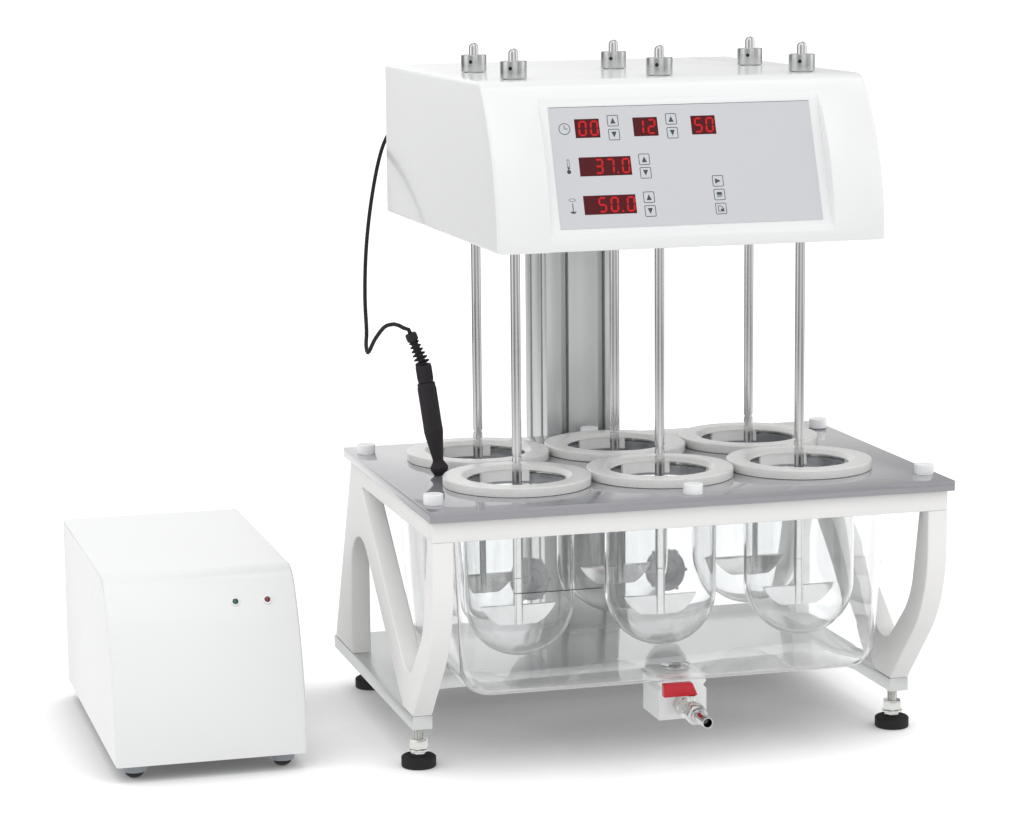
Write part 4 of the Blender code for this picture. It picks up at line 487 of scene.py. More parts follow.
def front_view(x, y, z):
    """Stands an outline drawn in X and Y up in the XZ plane at that point."""
    return at(x, y, z) @ turned(90, "X")


def hexagon(flats):
    radius = flats / 2 / math.cos(math.radians(30))
    turns = [math.radians(60 * corner) for corner in range(6)]
    return [(radius * math.cos(turn), radius * math.sin(turn)) for turn in turns]


def into_scene(name, data):
    made = bpy.data.objects.new(name, data)
    bpy.context.scene.collection.objects.link(made)
    return made


def crisp(mesh, sharp=SHARP_ANGLE):
    """Shades a mesh smooth up to its sharp edges."""
    mesh.shade_smooth()
    mesh.set_sharp_from_angle(angle=math.radians(sharp))


def piece(name, bm, material, body, slot, *nodes, sharp=SHARP_ANGLE):
    """Makes a bmesh a finished piece that rides on a body and stands for its CAD nodes."""
    mesh = mesh_of(name, bm)
    crisp(mesh, sharp)
    mesh.materials.append(material)
    made = into_scene(name, mesh)
    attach(made, body)
    if nodes:
        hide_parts(*nodes)
    return made


def settle(made):
    """Applies a piece's modifiers."""
    bpy.context.view_layer.update()
    evaluated = made.evaluated_get(bpy.context.evaluated_depsgraph_get())
    mesh = bpy.data.meshes.new_from_object(evaluated)
    made.modifiers.clear()
    made.data = mesh
    crisp(mesh)


def thicken(made, thickness, even=False):
    """Gives a skin its wall, inwards."""
    wall = made.modifiers.new("wall", "SOLIDIFY")
    wall.thickness = thickness
    wall.offset = -1
    wall.use_even_offset = even
    settle(made)


def carve(made, cutter_bm):
    """Cuts a shape out of a piece for good."""
    cutter = into_scene("cutter", mesh_of("cutter", cutter_bm))
    cut = made.modifiers.new("cut", "BOOLEAN")
    cut.operation = "DIFFERENCE"
    cut.solver = "EXACT"
    cut.object = cutter
    settle(made)
    bpy.data.objects.remove(cutter)


def open_below(bm):
    """Takes the underside off a shell."""
    under = [face for face in bm.faces if face.normal.z < -0.9]
    bmesh.ops.delete(bm, geom=under, context="FACES_ONLY")


def trimmed(node, edge, segments=2):
    """A merged copy of a CAD node's mesh with its sharp edges rounded."""
    bm = bmesh.new()
    bm.from_mesh(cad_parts[node].data)
    bmesh.ops.remove_doubles(bm, verts=bm.verts, dist=0.000005)
    bmesh.ops.dissolve_limit(bm, angle_limit=math.radians(1), verts=bm.verts, edges=bm.edges)
    rims = [e for e in bm.edges if len(e.link_faces) == 2 and e.calc_face_angle(0) > math.radians(30)]
    soften(bm, rims, edge, segments)
    return bm


# The head's curved front, which ends in a brow of a smaller radius

def brow(front, start, top, curve, radius):
    """Y and Z of the brow's middle, and the angle at which the front runs into it."""
    centre_y, z = front + curve, top - radius
    y = centre_y - math.sqrt((curve - radius) ** 2 - (z - start) ** 2)
    return y, z, math.atan2(z - start, centre_y - y)


def brow_arc(y, z, touch, radius, steps):
    turns = [touch + (math.pi / 2 - touch) * step / steps for step in range(1, steps + 1)]
    return [(y - radius * math.cos(turn), z + radius * math.sin(turn)) for turn in turns]


def head_point(way):
    """A point on the curved front, by its way up the curve."""
    curve = sizes().head_curve
    angle = way / curve
    return (HEAD_LOW.y + curve - curve * math.cos(angle), HEAD_LOW.z + curve * math.sin(angle))


def head_side():
    """The head from the side, with points where the pan's edges cross the curve."""
    s = sizes()
    y, z, touch = brow(HEAD_LOW.y, HEAD_LOW.z, HEAD_HIGH.z, s.head_curve, s.head_brow)
    low, high = s.panel_low, s.panel_high
    ways = [low * k / 3 for k in range(3)] + [low + (high - low) * k / 40 for k in range(41)]
    end = touch * s.head_curve
    ways += [high + (end - high) * k / 5 for k in range(1, 6)] if end > high else []
    return ([head_point(way) for way in ways] + brow_arc(y, z, touch, s.head_brow, 10)
            + [(HEAD_HIGH.y, HEAD_HIGH.z), (HEAD_HIGH.y, HEAD_LOW.z)])


def panel_place(lift=0.0):
    """Takes flat artwork, drawn in X and way up the pan, to the head's flat pan and this far off it."""
    s = sizes()
    low = Vector((TESTER_X, *head_point(s.panel_low)))
    high = Vector((TESTER_X, *head_point(s.panel_high)))
    across, up = Vector((1, 0, 0)), (high - low).normalized()
    out = across.cross(up)
    return Matrix.Translation(low + out * lift) @ Matrix((across, up, out)).transposed().to_4x4()


PAN_BRINK = 0.0011
SHAFT_HOLE = 0.0100


class TESTER_OT_head_housing(bpy.types.Operator):
    """Curved, painted shell of the drive head, with the flat pan that is sunk into it for the foil"""
    bl_idname = "tester.head_housing"
    bl_label = "Head housing"

    def execute(self, context):
        s = sizes()
        bm = bmesh.new()
        prism(bm, head_side(), HEAD_HIGH.x - HEAD_LOW.x, side_view((HEAD_LOW.x + HEAD_HIGH.x) / 2),
              edge=s.head_edge, segments=5, side_only=True)
        self.sink_pan(bm)
        open_below(bm)
        housing = piece("head_shell", bm, gloss_paint(), STAND, "gloss_white", "head_housing")
        thicken(housing, s.sheet_wall)
        holes = bmesh.new()
        for number in STATIONS:
            spot = middle(f"spindle_{number}")
            rod(holes, SHAFT_HOLE, HEAD_HIGH.z - 2 * s.sheet_wall, HEAD_HIGH.z + OVERRUN,
                at(spot.x, spot.y), 48)
        carve(housing, holes)
        return {"FINISHED"}

    def sink_pan(self, bm):
        """Flattens the curve between the panel's edges and rounds the brinks at its two sides."""
        s = sizes()
        foil_low, foil_high = span("control_panel")
        edges_x = (foil_low.x - s.pan_margin, foil_high.x + s.pan_margin)
        for x in edges_x:
            bmesh.ops.bisect_plane(bm, geom=bm.verts[:] + bm.edges[:] + bm.faces[:], plane_co=(x, 0, 0),
                                   plane_no=(1, 0, 0))
        bottom, top = head_point(s.panel_low)[1], head_point(s.panel_high)[1]
        pan = []
        for face in bm.faces:
            spot = face.calc_center_median()
            front = spot.y < HEAD_LOW.y + 0.6 * s.head_curve and face.normal.y < -0.2
            if front and edges_x[0] < spot.x < edges_x[1] and bottom < spot.z < top:
                pan.append(face)
        bmesh.ops.inset_region(bm, faces=pan, thickness=s.pan_draft, use_even_offset=True)
        place = panel_place()
        for vert in {vert for face in pan for vert in face.verts}:
            spot = place.inverted() @ vert.co
            vert.co = place @ Vector((spot.x, spot.y, 0))
        bm.normal_update()
        brink = [edge for edge in bm.edges if edge.is_convex and edge.calc_face_angle(0) > math.radians(24)
                 and all(min(abs(vert.co.x - x) for x in edges_x) < GAP for vert in edge.verts)]
        soften(bm, brink, PAN_BRINK, 3)


# Artwork of the control panel: X from the tester's middle, and way up the pan

FOIL_FACE = 0.0006
PRINT_LIFT = 0.00006
DIGIT_LIFT = 0.00014
SEGMENTS = {"0": "abcdef", "1": "bc", "2": "abged", "3": "abgcd", "5": "afgcd", "7": "abc"}
DIGIT_WIDTH = 0.0081
DIGIT_HEIGHT = 0.0147
STROKE = 0.0018
SLANT = 0.05


def laid(bm, lift):
    """Lays flat artwork on the foil's face and this far off it."""
    bmesh.ops.transform(bm, matrix=panel_place(FOIL_FACE + lift), verts=bm.verts)
    return bm


def face_out(face):
    """Winds a flat face so that it faces out of the panel."""
    face.normal_update()
    if face.normal.z < 0:
        face.normal_flip()


def patch(bm, outline):
    """One flat printed shape."""
    face = bm.faces.new([bm.verts.new((x, y, 0)) for x, y in outline])
    face_out(face)


def rectangle(left, low, right, high, radius=0.0):
    corners = ((left, low), (right, low), (right, high), (left, high))
    return rounded([(x, y, radius) for x, y in corners], 4)


def frame_line(bm, outer, inner):
    """A printed line between two outlines that have as many points."""
    outside = [bm.verts.new((x, y, 0)) for x, y in outer]
    inside = [bm.verts.new((x, y, 0)) for x, y in inner]
    count = len(outside)
    for index in range(count):
        after = (index + 1) % count
        face = bm.faces.new((outside[index], outside[after], inside[after], inside[index]))
        face_out(face)


def circle(x, y, radius, count=24, start=0.0):
    steps = [start + 2 * math.pi * k / count for k in range(count)]
    return [(x + radius * math.cos(angle), y + radius * math.sin(angle)) for angle in steps]


def bar(bm, first, last, width):
    """A lit stroke with pointed ends."""
    first, last = Vector(first), Vector(last)
    along = (last - first).normalized() * width / 2
    across = Vector((-along.y, along.x))
    patch(bm, [tuple(p) for p in (
        first, first + along + across, last - along + across, last, last - along - across,
        first + along - across)])


def digit(bm, character, x, low):
    half = DIGIT_WIDTH / 2 - STROKE / 2
    top = DIGIT_HEIGHT - STROKE / 2
    bottom, centre = STROKE / 2, DIGIT_HEIGHT / 2
    gap = STROKE * 0.12
    strokes = {
        "a": ((-half, top), (half, top)), "g": ((-half, centre), (half, centre)),
        "d": ((-half, bottom), (half, bottom)), "f": ((-half, centre), (-half, top)),
        "b": ((half, centre), (half, top)), "e": ((-half, bottom), (-half, centre)),
        "c": ((half, bottom), (half, centre)),
    }
    for letter in SEGMENTS[character]:
        ends = []
        first, last = Vector(strokes[letter][0]), Vector(strokes[letter][1])
        pull = (last - first).normalized() * gap
        for end in (first + pull, last - pull):
            ends.append((x + end.x + SLANT * (end.y - centre), low + end.y))
        bar(bm, *ends, STROKE)


# Degrees by which a key's upright arrow turns
ARROW_TURNS = {"up": 0, "down": 180, "run": -90}


def key(bm, x, y, symbol):
    """A square key with its symbol, both printed."""
    s = sizes()
    half, line = s.key_side / 2, s.print_line
    frame_line(bm, rectangle(x - half, y - half, x + half, y + half, line * 2),
               rectangle(x - half + line, y - half + line, x + half - line, y + half - line, line))
    size = half * 0.46
    if symbol in ARROW_TURNS:
        tall, wide = size * 1.12, size
        points = [(-wide, -tall), (wide, -tall), (0, tall)]
        turn = Matrix.Rotation(math.radians(ARROW_TURNS[symbol]), 2)
        patch(bm, [tuple(turn @ Vector(point) + Vector((x, y))) for point in points])
    elif symbol == "stop":
        patch(bm, rectangle(x - size, y - size * 0.15, x + size, y + size * 0.95, 0))
        patch(bm, rectangle(x - size, y - size * 0.80, x + size, y - size * 0.45, 0))
    else:
        edge = size * 1.15
        inner = edge - line
        frame_line(bm, [(x - edge, y - edge), (x + edge, y - edge), (x + edge, y), (x, y + edge),
                        (x - edge, y + edge)],
                   [(x - inner, y - inner), (x + inner, y - inner), (x + inner, y - line / 2),
                    (x - line / 2, y + inner), (x - inner, y + inner)])
        patch(bm, rectangle(x - size * 0.1, y - size, x + size, y - size * 0.1, 0))


ROWS = (0.1063, 0.0695, 0.0327)
WINDOW_HEIGHT = 0.0182
# Left, right, row, digits with their middles, and the middle of the decimal point
WINDOWS = (
    (-0.1047, -0.0808, ROWS[0], (("0", -0.0973), ("0", -0.0860)), None),
    (-0.0480, -0.0240, ROWS[0], (("1", -0.0415), ("2", -0.0301)), None),
    (0.0089, 0.0329, ROWS[0], (("5", 0.0159), ("0", 0.0271)), None),
    (-0.1044, -0.0541, ROWS[1], (("3", -0.0853), ("7", -0.0744), ("0", -0.0593)), -0.0675),
    (-0.1041, -0.0536, ROWS[2], (("5", -0.0860), ("0", -0.0743), ("0", -0.0585)), -0.0670),
)
KEYS = (
    (-0.0673, 0.1130, "up"), (-0.0673, 0.0996, "down"), (-0.0103, 0.1130, "up"), (-0.0103, 0.0996, "down"),
    (-0.0409, 0.0749, "up"), (-0.0409, 0.0619, "down"), (-0.0405, 0.0384, "up"), (-0.0405, 0.0252, "down"),
    (0.0287, 0.0517, "run"), (0.0287, 0.0385, "stop"), (0.0287, 0.0250, "print"),
)
SIGN_X = -0.1148


class TESTER_OT_control_panel(bpy.types.Operator):
    """Membrane foil with its printed keys, symbols and red displays"""
    bl_idname = "tester.control_panel"
    bl_label = "Control panel"

    def execute(self, context):
        s = sizes()
        low, high = span("control_panel")
        left, right = low.x - TESTER_X, high.x - TESTER_X
        bm = bmesh.new()
        sheet = FOIL_FACE + GAP
        prism(bm, rectangle(left, s.foil_low, right, s.foil_high, 0.0006), sheet, at(0, 0, -sheet / 2))
        piece("panel_foil", laid(bm, 0), printed_foil(), STAND, "foil_grey", "control_panel")
        bm, digits = bmesh.new(), bmesh.new()
        for x0, x1, row, characters, point in WINDOWS:
            patch(bm, rectangle(x0, row - WINDOW_HEIGHT / 2, x1, row + WINDOW_HEIGHT / 2, 0.0002))
            base = row - DIGIT_HEIGHT / 2
            for character, x in characters:
                digit(digits, character, x, base)
            if point:
                patch(digits, circle(point, base + STROKE / 2, STROKE * 0.55, 8))
        piece("panel_windows", laid(bm, PRINT_LIFT), display_window(), STAND, "red_plastic")
        piece("panel_digits", laid(digits, DIGIT_LIFT), lit_digit(), STAND, "red_plastic")
        bm = bmesh.new()
        for x, y, symbol in KEYS:
            key(bm, x, y, symbol)
        # A dark strip of ink along the foil's top edge: painted shadow of the pan's upper wall falling on the
        # foil
        patch(bm, rectangle(left, s.foil_high - s.print_line * 0.7, right, s.foil_high))
        self.clock(bm, SIGN_X, ROWS[0])
        self.thermometer(bm, SIGN_X, 0.0651)
        self.paddle_sign(bm, SIGN_X, 0.0382)
        piece("panel_print_and_shadow", laid(bm, PRINT_LIFT), print_and_shadow_ink(), STAND, "foil_grey")
        return {"FINISHED"}

    def clock(self, bm, x, y):
        line, radius = sizes().print_line, 0.0056
        frame_line(bm, circle(x, y, radius), circle(x, y, radius - line))
        patch(bm, rectangle(x - line / 2, y, x + line / 2, y + 0.0038))
        patch(bm, rectangle(x, y - line / 2, x + 0.0030, y + line / 2))

    def thermometer(self, bm, x, y):
        line, half, low, high = sizes().print_line, 0.0012, y + 0.0025, y + 0.0120
        inner = line * 0.7
        frame_line(bm, rectangle(x - half, low, x + half, high, 0.0009),
                   rectangle(x - half + inner, low + line, x + half - inner, high - line, 0.0004))
        patch(bm, circle(x, y, 0.0020, 14))
        patch(bm, rectangle(x - 0.0005, y, x + 0.0005, y + 0.0050))

    def paddle_sign(self, bm, x, y):
        """A ring round a shaft with its blade."""
        line, radius = sizes().print_line, 0.0034
        frame_line(bm, [(px, y + (py - y) * 0.45) for px, py in circle(x, y, radius)],
                   [(px, y + (py - y) * 0.38) for px, py in circle(x, y, radius - line * 0.7)])
        patch(bm, rectangle(x - 0.0004, y - 0.0112, x + 0.0004, y - 0.0032))
        patch(bm, [(x - 0.0032, y - 0.0110), (x + 0.0032, y - 0.0110), (x + 0.0016, y - 0.0128),
                   (x - 0.0016, y - 0.0128)])


def axis_of(node):
    """X and Y of an upright node's axis."""
    low, high = span(node)
    return (low.x + high.x) / 2, (low.y + high.y) / 2


# The blade's sides are arcs, and the shaft has two marks over the ring and a joint over the blade
BLADE_ARC = 0.0415
BLADE_HALF = 0.0375
BLADE_HEIGHT = 0.0195
BLADE_THICKNESS = 0.004
JOINT_HEIGHT = 0.0465
MARK_HEIGHTS = (0.019, 0.011)
GROOVE_DEPTH = 0.0009
COLLAR_RADIUS = 0.0126
COLLAR_CLEARANCE = 0.0001
SCREW_HEIGHT = 0.0098
SCREW_WAY = -29
SCREW_HOLE = 0.0018
SCREW_RADIUS = 0.0017
SCREW_SINK = 0.0012


class TESTER_OT_shafts(bpy.types.Operator):
    """Paddle shafts with their blades, and the collars that carry them on the head"""
    bl_idname = "tester.shafts"
    bl_label = "Paddles and collars"

    def execute(self, context):
        rise = math.sqrt(BLADE_ARC ** 2 - BLADE_HALF ** 2)
        drops = [BLADE_HEIGHT * k / 12 for k in range(13)]
        right = [(math.sqrt(BLADE_ARC ** 2 - (rise + drop) ** 2), BLADE_HEIGHT - drop) for drop in drops]
        blade = right + [(-x, z) for x, z in right[::-1]]
        for number in STATIONS:
            self.paddle(number, blade)
            self.collar(number)
        return {"FINISHED"}

    def paddle(self, number, blade):
        radius = sizes().shaft_radius
        low, high = span(f"paddle_{number}")
        x, y = axis_of(f"paddle_{number}")
        joint = low.z + JOINT_HEIGHT
        groove = radius - GROOVE_DEPTH
        turns = [math.radians(15 * k) for k in range(7)]
        profile = [(radius * math.sin(turn), high.z - radius + radius * math.cos(turn)) for turn in turns]
        for mark in [RING_TOP + height for height in MARK_HEIGHTS]:
            profile += [(radius, mark + 0.0013), (groove, mark + 0.0010), (groove, mark - 0.0010),
                        (radius, mark - 0.0013)]
        profile += [(radius, joint + 0.0004), (groove, joint), (radius, joint - 0.0004),
                    (radius, low.z + 0.0004), (groove, low.z), (0, low.z)]
        bm = bmesh.new()
        spun(bm, profile, 48, place=at(x, y))
        prism(bm, blade, BLADE_THICKNESS, front_view(x, y, low.z), edge=0.0005)
        piece(f"paddle_steel_{number}", bm, ground_steel(), f"paddle_{number}_lift", "satin_steel",
              f"paddle_{number}")

    def collar(self, number):
        radius, outer = sizes().shaft_radius, COLLAR_RADIUS
        inner = radius + COLLAR_CLEARANCE
        place = at(*axis_of(f"paddle_{number}"))
        low, high = span(f"collar_{number}")
        profile = open_rounded([
            (inner, low.z, 0), (inner, high.z, 0.0004), (outer, high.z, 0.0008), (outer, low.z, 0.0005),
            (inner, low.z, 0)], 4)
        bm = bmesh.new()
        spun(bm, profile[:-1], 64, closed=True, place=place)
        collar = piece(f"shaft_collar_{number}", bm, turned_aluminium(), f"paddle_{number}_lift",
                       "anodised_aluminium", f"collar_{number}")
        way = place @ turned(SCREW_WAY) @ front_view(0, 0, low.z + SCREW_HEIGHT)
        hole = bmesh.new()
        rod(hole, SCREW_HOLE, radius + GAP, outer + OVERRUN, way, 24)
        carve(collar, hole)
        # A grub screw sunk in the hole. It is made black so that it also stands in for the shade deep in the
        # hole, so it is partly painted shade
        bm = bmesh.new()
        rod(bm, SCREW_RADIUS, radius + 2 * GAP, outer - SCREW_SINK, way, 24)
        piece(f"collar_screw_and_shade_{number}", bm, black_plastic(), f"paddle_{number}_lift", "black_plastic")


VESSEL_RADIUS = 0.0545
RIM_CLEARANCE = 0.0005
RING_RADIUS = 0.0717
RING_LIP = 0.048
RING_SKIRT = 0.0643
RING_HEIGHT = 0.009
RING_ROOM = 0.0043
TAB_INSIDE, TAB_OUTSIDE = 0.0482, 0.0504
TAB_TOP = 0.0042
TAB_ARC = 60


class TESTER_OT_vessels(bpy.types.Operator):
    """Round-bottomed glass vessels and the rings that centre them"""
    bl_idname = "tester.vessels"
    bl_label = "Vessels and rings"

    def execute(self, context):
        for number in STATIONS:
            place = at(*axis_of(f"vessel_{number}"))
            self.glass(number, place)
            self.ring(number, place)
        return {"FINISHED"}

    def glass(self, number, place):
        low, high = span(f"vessel_{number}")
        outer, rim = VESSEL_RADIUS, (high.x - low.x) / 2 - RIM_CLEARANCE
        centre = low.z + outer
        inner = outer - sizes().glass_wall
        angles = [math.radians(90 * k / 20) for k in range(1, 21)]
        ball_out, ball_in = [
            [(radius * math.cos(angle), centre - radius * math.sin(angle)) for angle in angles]
            for radius in (outer, inner)]
        neck = open_rounded([
            (inner, centre, 0), (inner, high.z, 0.0015), (rim, high.z, 0.0015),
            (rim, high.z - 0.0038, 0.0015), (outer, high.z - 0.0042, 0.0012), (outer, centre, 0)], 5)
        bm = bmesh.new()
        spun(bm, ball_in[::-1] + neck + ball_out, 96, place=place)
        piece(f"vessel_glass_{number}", bm, vessel_glass(), STAND, "clear_glass", f"vessel_{number}",
              sharp=60)

    def ring(self, number, place):
        low, high = span(f"centering_ring_{number}")
        foot = high.z - RING_HEIGHT
        inside = foot + RING_ROOM
        profile = rounded([
            (RING_RADIUS, foot, 0.0006), (RING_RADIUS, high.z, 0.0014), (RING_LIP + 0.0055, high.z, 0.0012),
            (RING_LIP, high.z - 0.0032, 0.0010), (RING_LIP, inside, 0.0004), (RING_SKIRT, inside, 0),
            (RING_SKIRT, foot, 0.0004)], 4)
        bm = bmesh.new()
        spun(bm, profile, 96, closed=True, place=place)
        piece(f"centering_cover_{number}", bm, ring_plastic(), STAND, "natural_plastic",
              f"centering_ring_{number}")
        bm = bmesh.new()
        for tab in range(3):
            self.hanging_tab(bm, place @ turned(90 + 120 * tab), low.z, foot + TAB_TOP)
        piece(f"centering_tabs_{number}", bm, tab_plastic(), STAND, "natural_plastic")

    def hanging_tab(self, bm, place, low, high):
        """An arc of the ring's inner lip that hangs inside the glass."""
        made = bmesh.new()
        corners = rounded([(TAB_INSIDE, low, 0.0008), (TAB_OUTSIDE, low, 0.0008), (TAB_OUTSIDE, high, 0),
                           (TAB_INSIDE, high, 0)], 3)
        verts = [made.verts.new((radius, 0, height)) for radius, height in corners]
        face = made.faces.new(verts)
        bmesh.ops.rotate(made, verts=made.verts, matrix=Matrix.Rotation(math.radians(-TAB_ARC / 2), 3, "Z"))
        bmesh.ops.spin(made, geom=[face], cent=(0, 0, 0), axis=(0, 0, 1), angle=math.radians(TAB_ARC),
                       steps=14)
        bmesh.ops.recalc_face_normals(made, faces=made.faces)
        add_to(bm, made, place)


VESSEL_HOLE = 0.0562
PROBE_HOLE = 0.0046
CAP_INSET = 0.014
CAP_WAY = 0.140
CAP_RADIUS = 0.0094


class TESTER_OT_vessel_plate(bpy.types.Operator):
    """Polished plate with six vessel holes, and the caps of its screws"""
    bl_idname = "tester.vessel_plate"
    bl_label = "Vessel plate"

    def execute(self, context):
        low, high = span("vessel_plate")
        top = PLATE_TOP
        bm = bmesh.new()
        outline = rectangle(low.x, low.y, high.x, high.y, 0.0012)
        prism(bm, outline, top - low.z, at(0, 0, (top + low.z) / 2), edge=0.0006)
        plate = piece("plate_sheet", bm, plate_sheet(), STAND, "plate_grey", "vessel_plate")
        holes = bmesh.new()
        for number in STATIONS:
            spot = middle(f"vessel_{number}")
            rod(holes, VESSEL_HOLE, low.z - OVERRUN, top + OVERRUN, at(spot.x, spot.y), 96)
        probe_y = middle("temperature_probe").y
        rod(holes, PROBE_HOLE, low.z - OVERRUN, top + OVERRUN, at(TESTER_X + PROBE_PLACE[0], probe_y), 32)
        carve(plate, holes)
        middle_y = (low.y + high.y) / 2
        spots = [(x, middle_y + way) for x in (low.x + CAP_INSET, high.x - CAP_INSET)
                 for way in (-CAP_WAY, CAP_WAY)]
        spots += [(TESTER_X, middle(rail).y) for rail in ("front_rail", "rear_rail")]
        profile = open_rounded([
            (0, high.z - 0.0003, 0), (0.0070, high.z - 0.0003, 0.003), (0.0080, high.z, 0.0004),
            (CAP_RADIUS, high.z, 0.0008), (CAP_RADIUS, top, 0.0004), (0, top, 0)], 5)
        bm = bmesh.new()
        for x, y in spots:
            spun(bm, profile, 48, place=at(x, y))
        piece("plate_caps", bm, cap_plastic(), STAND, "white_plastic")
        return {"FINISHED"}


def frame_outlines():
    """The outer outline and the window of a side frame, as (Y, Z) points."""
    low, high = span("side_frame_left")
    front = low.y
    back_of_rail = front + 0.0173
    under_rail = high.z - 0.020
    foot_front = front + 0.090
    window_foot = Vector((front + 0.1073, low.z + 0.030))
    window_rear = Vector((front + 0.299, under_rail))
    along = (window_rear - window_foot).normalized()
    edge = window_foot + Vector((along.y, -along.x)) * 0.0367
    diagonal_foot = edge + along * ((low.z - edge.y) / along.y)
    post_front = front + 0.351
    arch = edge + along * ((post_front - edge.x) / along.x)
    outer = rounded([
        (back_of_rail, high.z, 0), (back_of_rail, under_rail, 0), (front, under_rail, 0),
        (front, low.z + 0.098, 0.138), (foot_front, low.z, 0), (diagonal_foot.x, low.z, 0),
        (arch.x, arch.y, 0.045), (post_front, low.z, 0), (high.y, low.z, 0), (front + 0.342, high.z, 0)], 20)
    window = rounded([
        (front + 0.022, under_rail, 0.003), (front + 0.0417, low.z + 0.0935, 0.080),
        (window_foot.x, window_foot.y, 0.030), (window_rear.x, window_rear.y, 0.003)], 16)
    return outer, window


class TESTER_OT_side_frames(bpy.types.Operator):
    """Moulded side frames and the rails that join them"""
    bl_idname = "tester.side_frames"
    bl_label = "Side frames and rails"

    def execute(self, context):
        edge = sizes().moulding_edge
        outer, window = frame_outlines()
        for name, _ in SIDES:
            low, high = span(f"side_frame_{name}")
            curve = bpy.data.curves.new("frame_outline", "CURVE")
            curve.dimensions = "2D"
            curve.fill_mode = "BOTH"
            curve.extrude = (high.x - low.x) / 2 - edge
            curve.bevel_depth = edge
            curve.bevel_resolution = 2
            curve.offset = -edge
            for loop in (outer, window):
                spline = curve.splines.new("POLY")
                spline.points.add(len(loop) - 1)
                for point, (y, z) in zip(spline.points, loop):
                    point.co = (y, z, 0, 1)
                spline.use_cyclic_u = True
            draft = into_scene("frame_outline", curve)
            bpy.context.view_layer.update()
            mesh = bpy.data.meshes.new_from_object(draft.evaluated_get(bpy.context.evaluated_depsgraph_get()))
            bpy.data.objects.remove(draft)
            bm = bmesh.new()
            bm.from_mesh(mesh)
            bmesh.ops.remove_doubles(bm, verts=bm.verts, dist=0.00001)
            bmesh.ops.transform(bm, matrix=side_view((low.x + high.x) / 2), verts=bm.verts)
            bmesh.ops.recalc_face_normals(bm, faces=bm.faces)
            piece(f"frame_moulding_{name}", bm, frame_moulding(), STAND, "frame_white", f"side_frame_{name}")
        for rail in ("front_rail", "rear_rail"):
            bm = trimmed(rail, edge * 0.7)
            piece(f"{rail}_moulding", bm, frame_moulding(), STAND, "frame_white", rail)
        return {"FINISHED"}


class TESTER_OT_base_and_column(bpy.types.Operator):
    """Aluminium base plate and the slotted column"""
    bl_idname = "tester.base_and_column"
    bl_label = "Base plate and column"

    def execute(self, context):
        low, high = span("base_plate")
        arm, rear, radius = 0.020, low.y + 0.145, 0.060
        outline = rounded([
            (low.x, low.y, 0), (low.x + arm, low.y, 0), (low.x + arm, rear, radius),
            (high.x - arm, rear, radius), (high.x - arm, low.y, 0), (high.x, low.y, 0), (high.x, high.y, 0),
            (low.x, high.y, 0)], 20)
        bm = bmesh.new()
        prism(bm, outline, high.z - low.z, at(0, 0, (low.z + high.z) / 2), edge=0.0006)
        piece("base_sheet", bm, sheet_aluminium(), STAND, "anodised_aluminium", "base_plate")
        piece("column_profile", trimmed("column", 0.0005), drawn_aluminium(), STAND, "anodised_aluminium",
              "column")
        return {"FINISHED"}


# Profiles of a levelling foot as (radius, height, rounding), and the stud's thread
FOOT_PAD = (
    (0, 0.0113, 0), (0.0098, 0.0113, 0.0005), (0.0112, 0.0104, 0.001), (0.0148, 0.0114, 0.002),
    (0.0170, 0.0098, 0.0014), (0.0170, 0.0012, 0.001), (0.0161, 0, 0.0005), (0, 0, 0),
)
FOOT_WASHER = ((0.005, 0.0178, 0), (0.0101, 0.0178, 0.0004), (0.0103, 0.0158, 0.0004), (0.005, 0.0158, 0))
FLANGE_FLATS, FLANGE_HEIGHT, FLANGE_MIDDLE = 0.0136, 0.0046, 0.0135
NUT_FLATS, NUT_HEIGHT, NUT_MIDDLE, NUT_WAY = 0.017, 0.0099, 0.0228, 12
THREAD_CREST, THREAD_ROOT, THREAD_PITCH, THREAD_FOOT = 0.0050, 0.0043, 0.0014, 0.0160


class TESTER_OT_levelling_feet(bpy.types.Operator):
    """Rubber feet on threaded studs with lock nuts"""
    bl_idname = "tester.levelling_feet"
    bl_label = "Levelling feet"

    def execute(self, context):
        base = span("base_plate")[0].z
        for name in FEET:
            spot = middle(f"levelling_foot_{name}")
            low = span(f"levelling_foot_{name}")[0].z
            place = at(spot.x, spot.y, low)
            bm = bmesh.new()
            spun(bm, open_rounded(FOOT_PAD, 4), 72, place=place)
            piece(f"foot_rubber_{name}", bm, black_rubber(), STAND, "black_rubber")
            bm = bmesh.new()
            prism(bm, hexagon(FLANGE_FLATS), FLANGE_HEIGHT, at(spot.x, spot.y, low + FLANGE_MIDDLE),
                  edge=0.0004)
            spun(bm, open_rounded(FOOT_WASHER, 3), 40, place=place)
            prism(bm, hexagon(NUT_FLATS), NUT_HEIGHT, at(spot.x, spot.y, low + NUT_MIDDLE) @ turned(NUT_WAY),
                  edge=0.0008)
            thread, height = [], THREAD_FOOT
            while height < base - low:
                thread += [(THREAD_CREST, height), (THREAD_ROOT, height + THREAD_PITCH / 2)]
                height += THREAD_PITCH
            spun(bm, [(0, base - low)] + thread[::-1] + [(0, THREAD_FOOT)], 40, place=place)
            piece(f"foot_stud_{name}", bm, zinc_plating(), STAND, "zinc_plate", f"levelling_foot_{name}")
        return {"FINISHED"}


BATH_HALF_X, BATH_HALF_Y = 0.220, 0.141
BATH_DRAFT = math.radians(3.0)
BATH_CORNER = 0.030
BATH_FLOOR_EDGE = 0.024
DRAIN_HOLE = 0.0082
LINE_HEIGHT = 0.1790
LINE_X = -0.1227
LINE_HALF = 0.0433
PORT_HEIGHT = 0.131
PORT_WAY = 0.0735
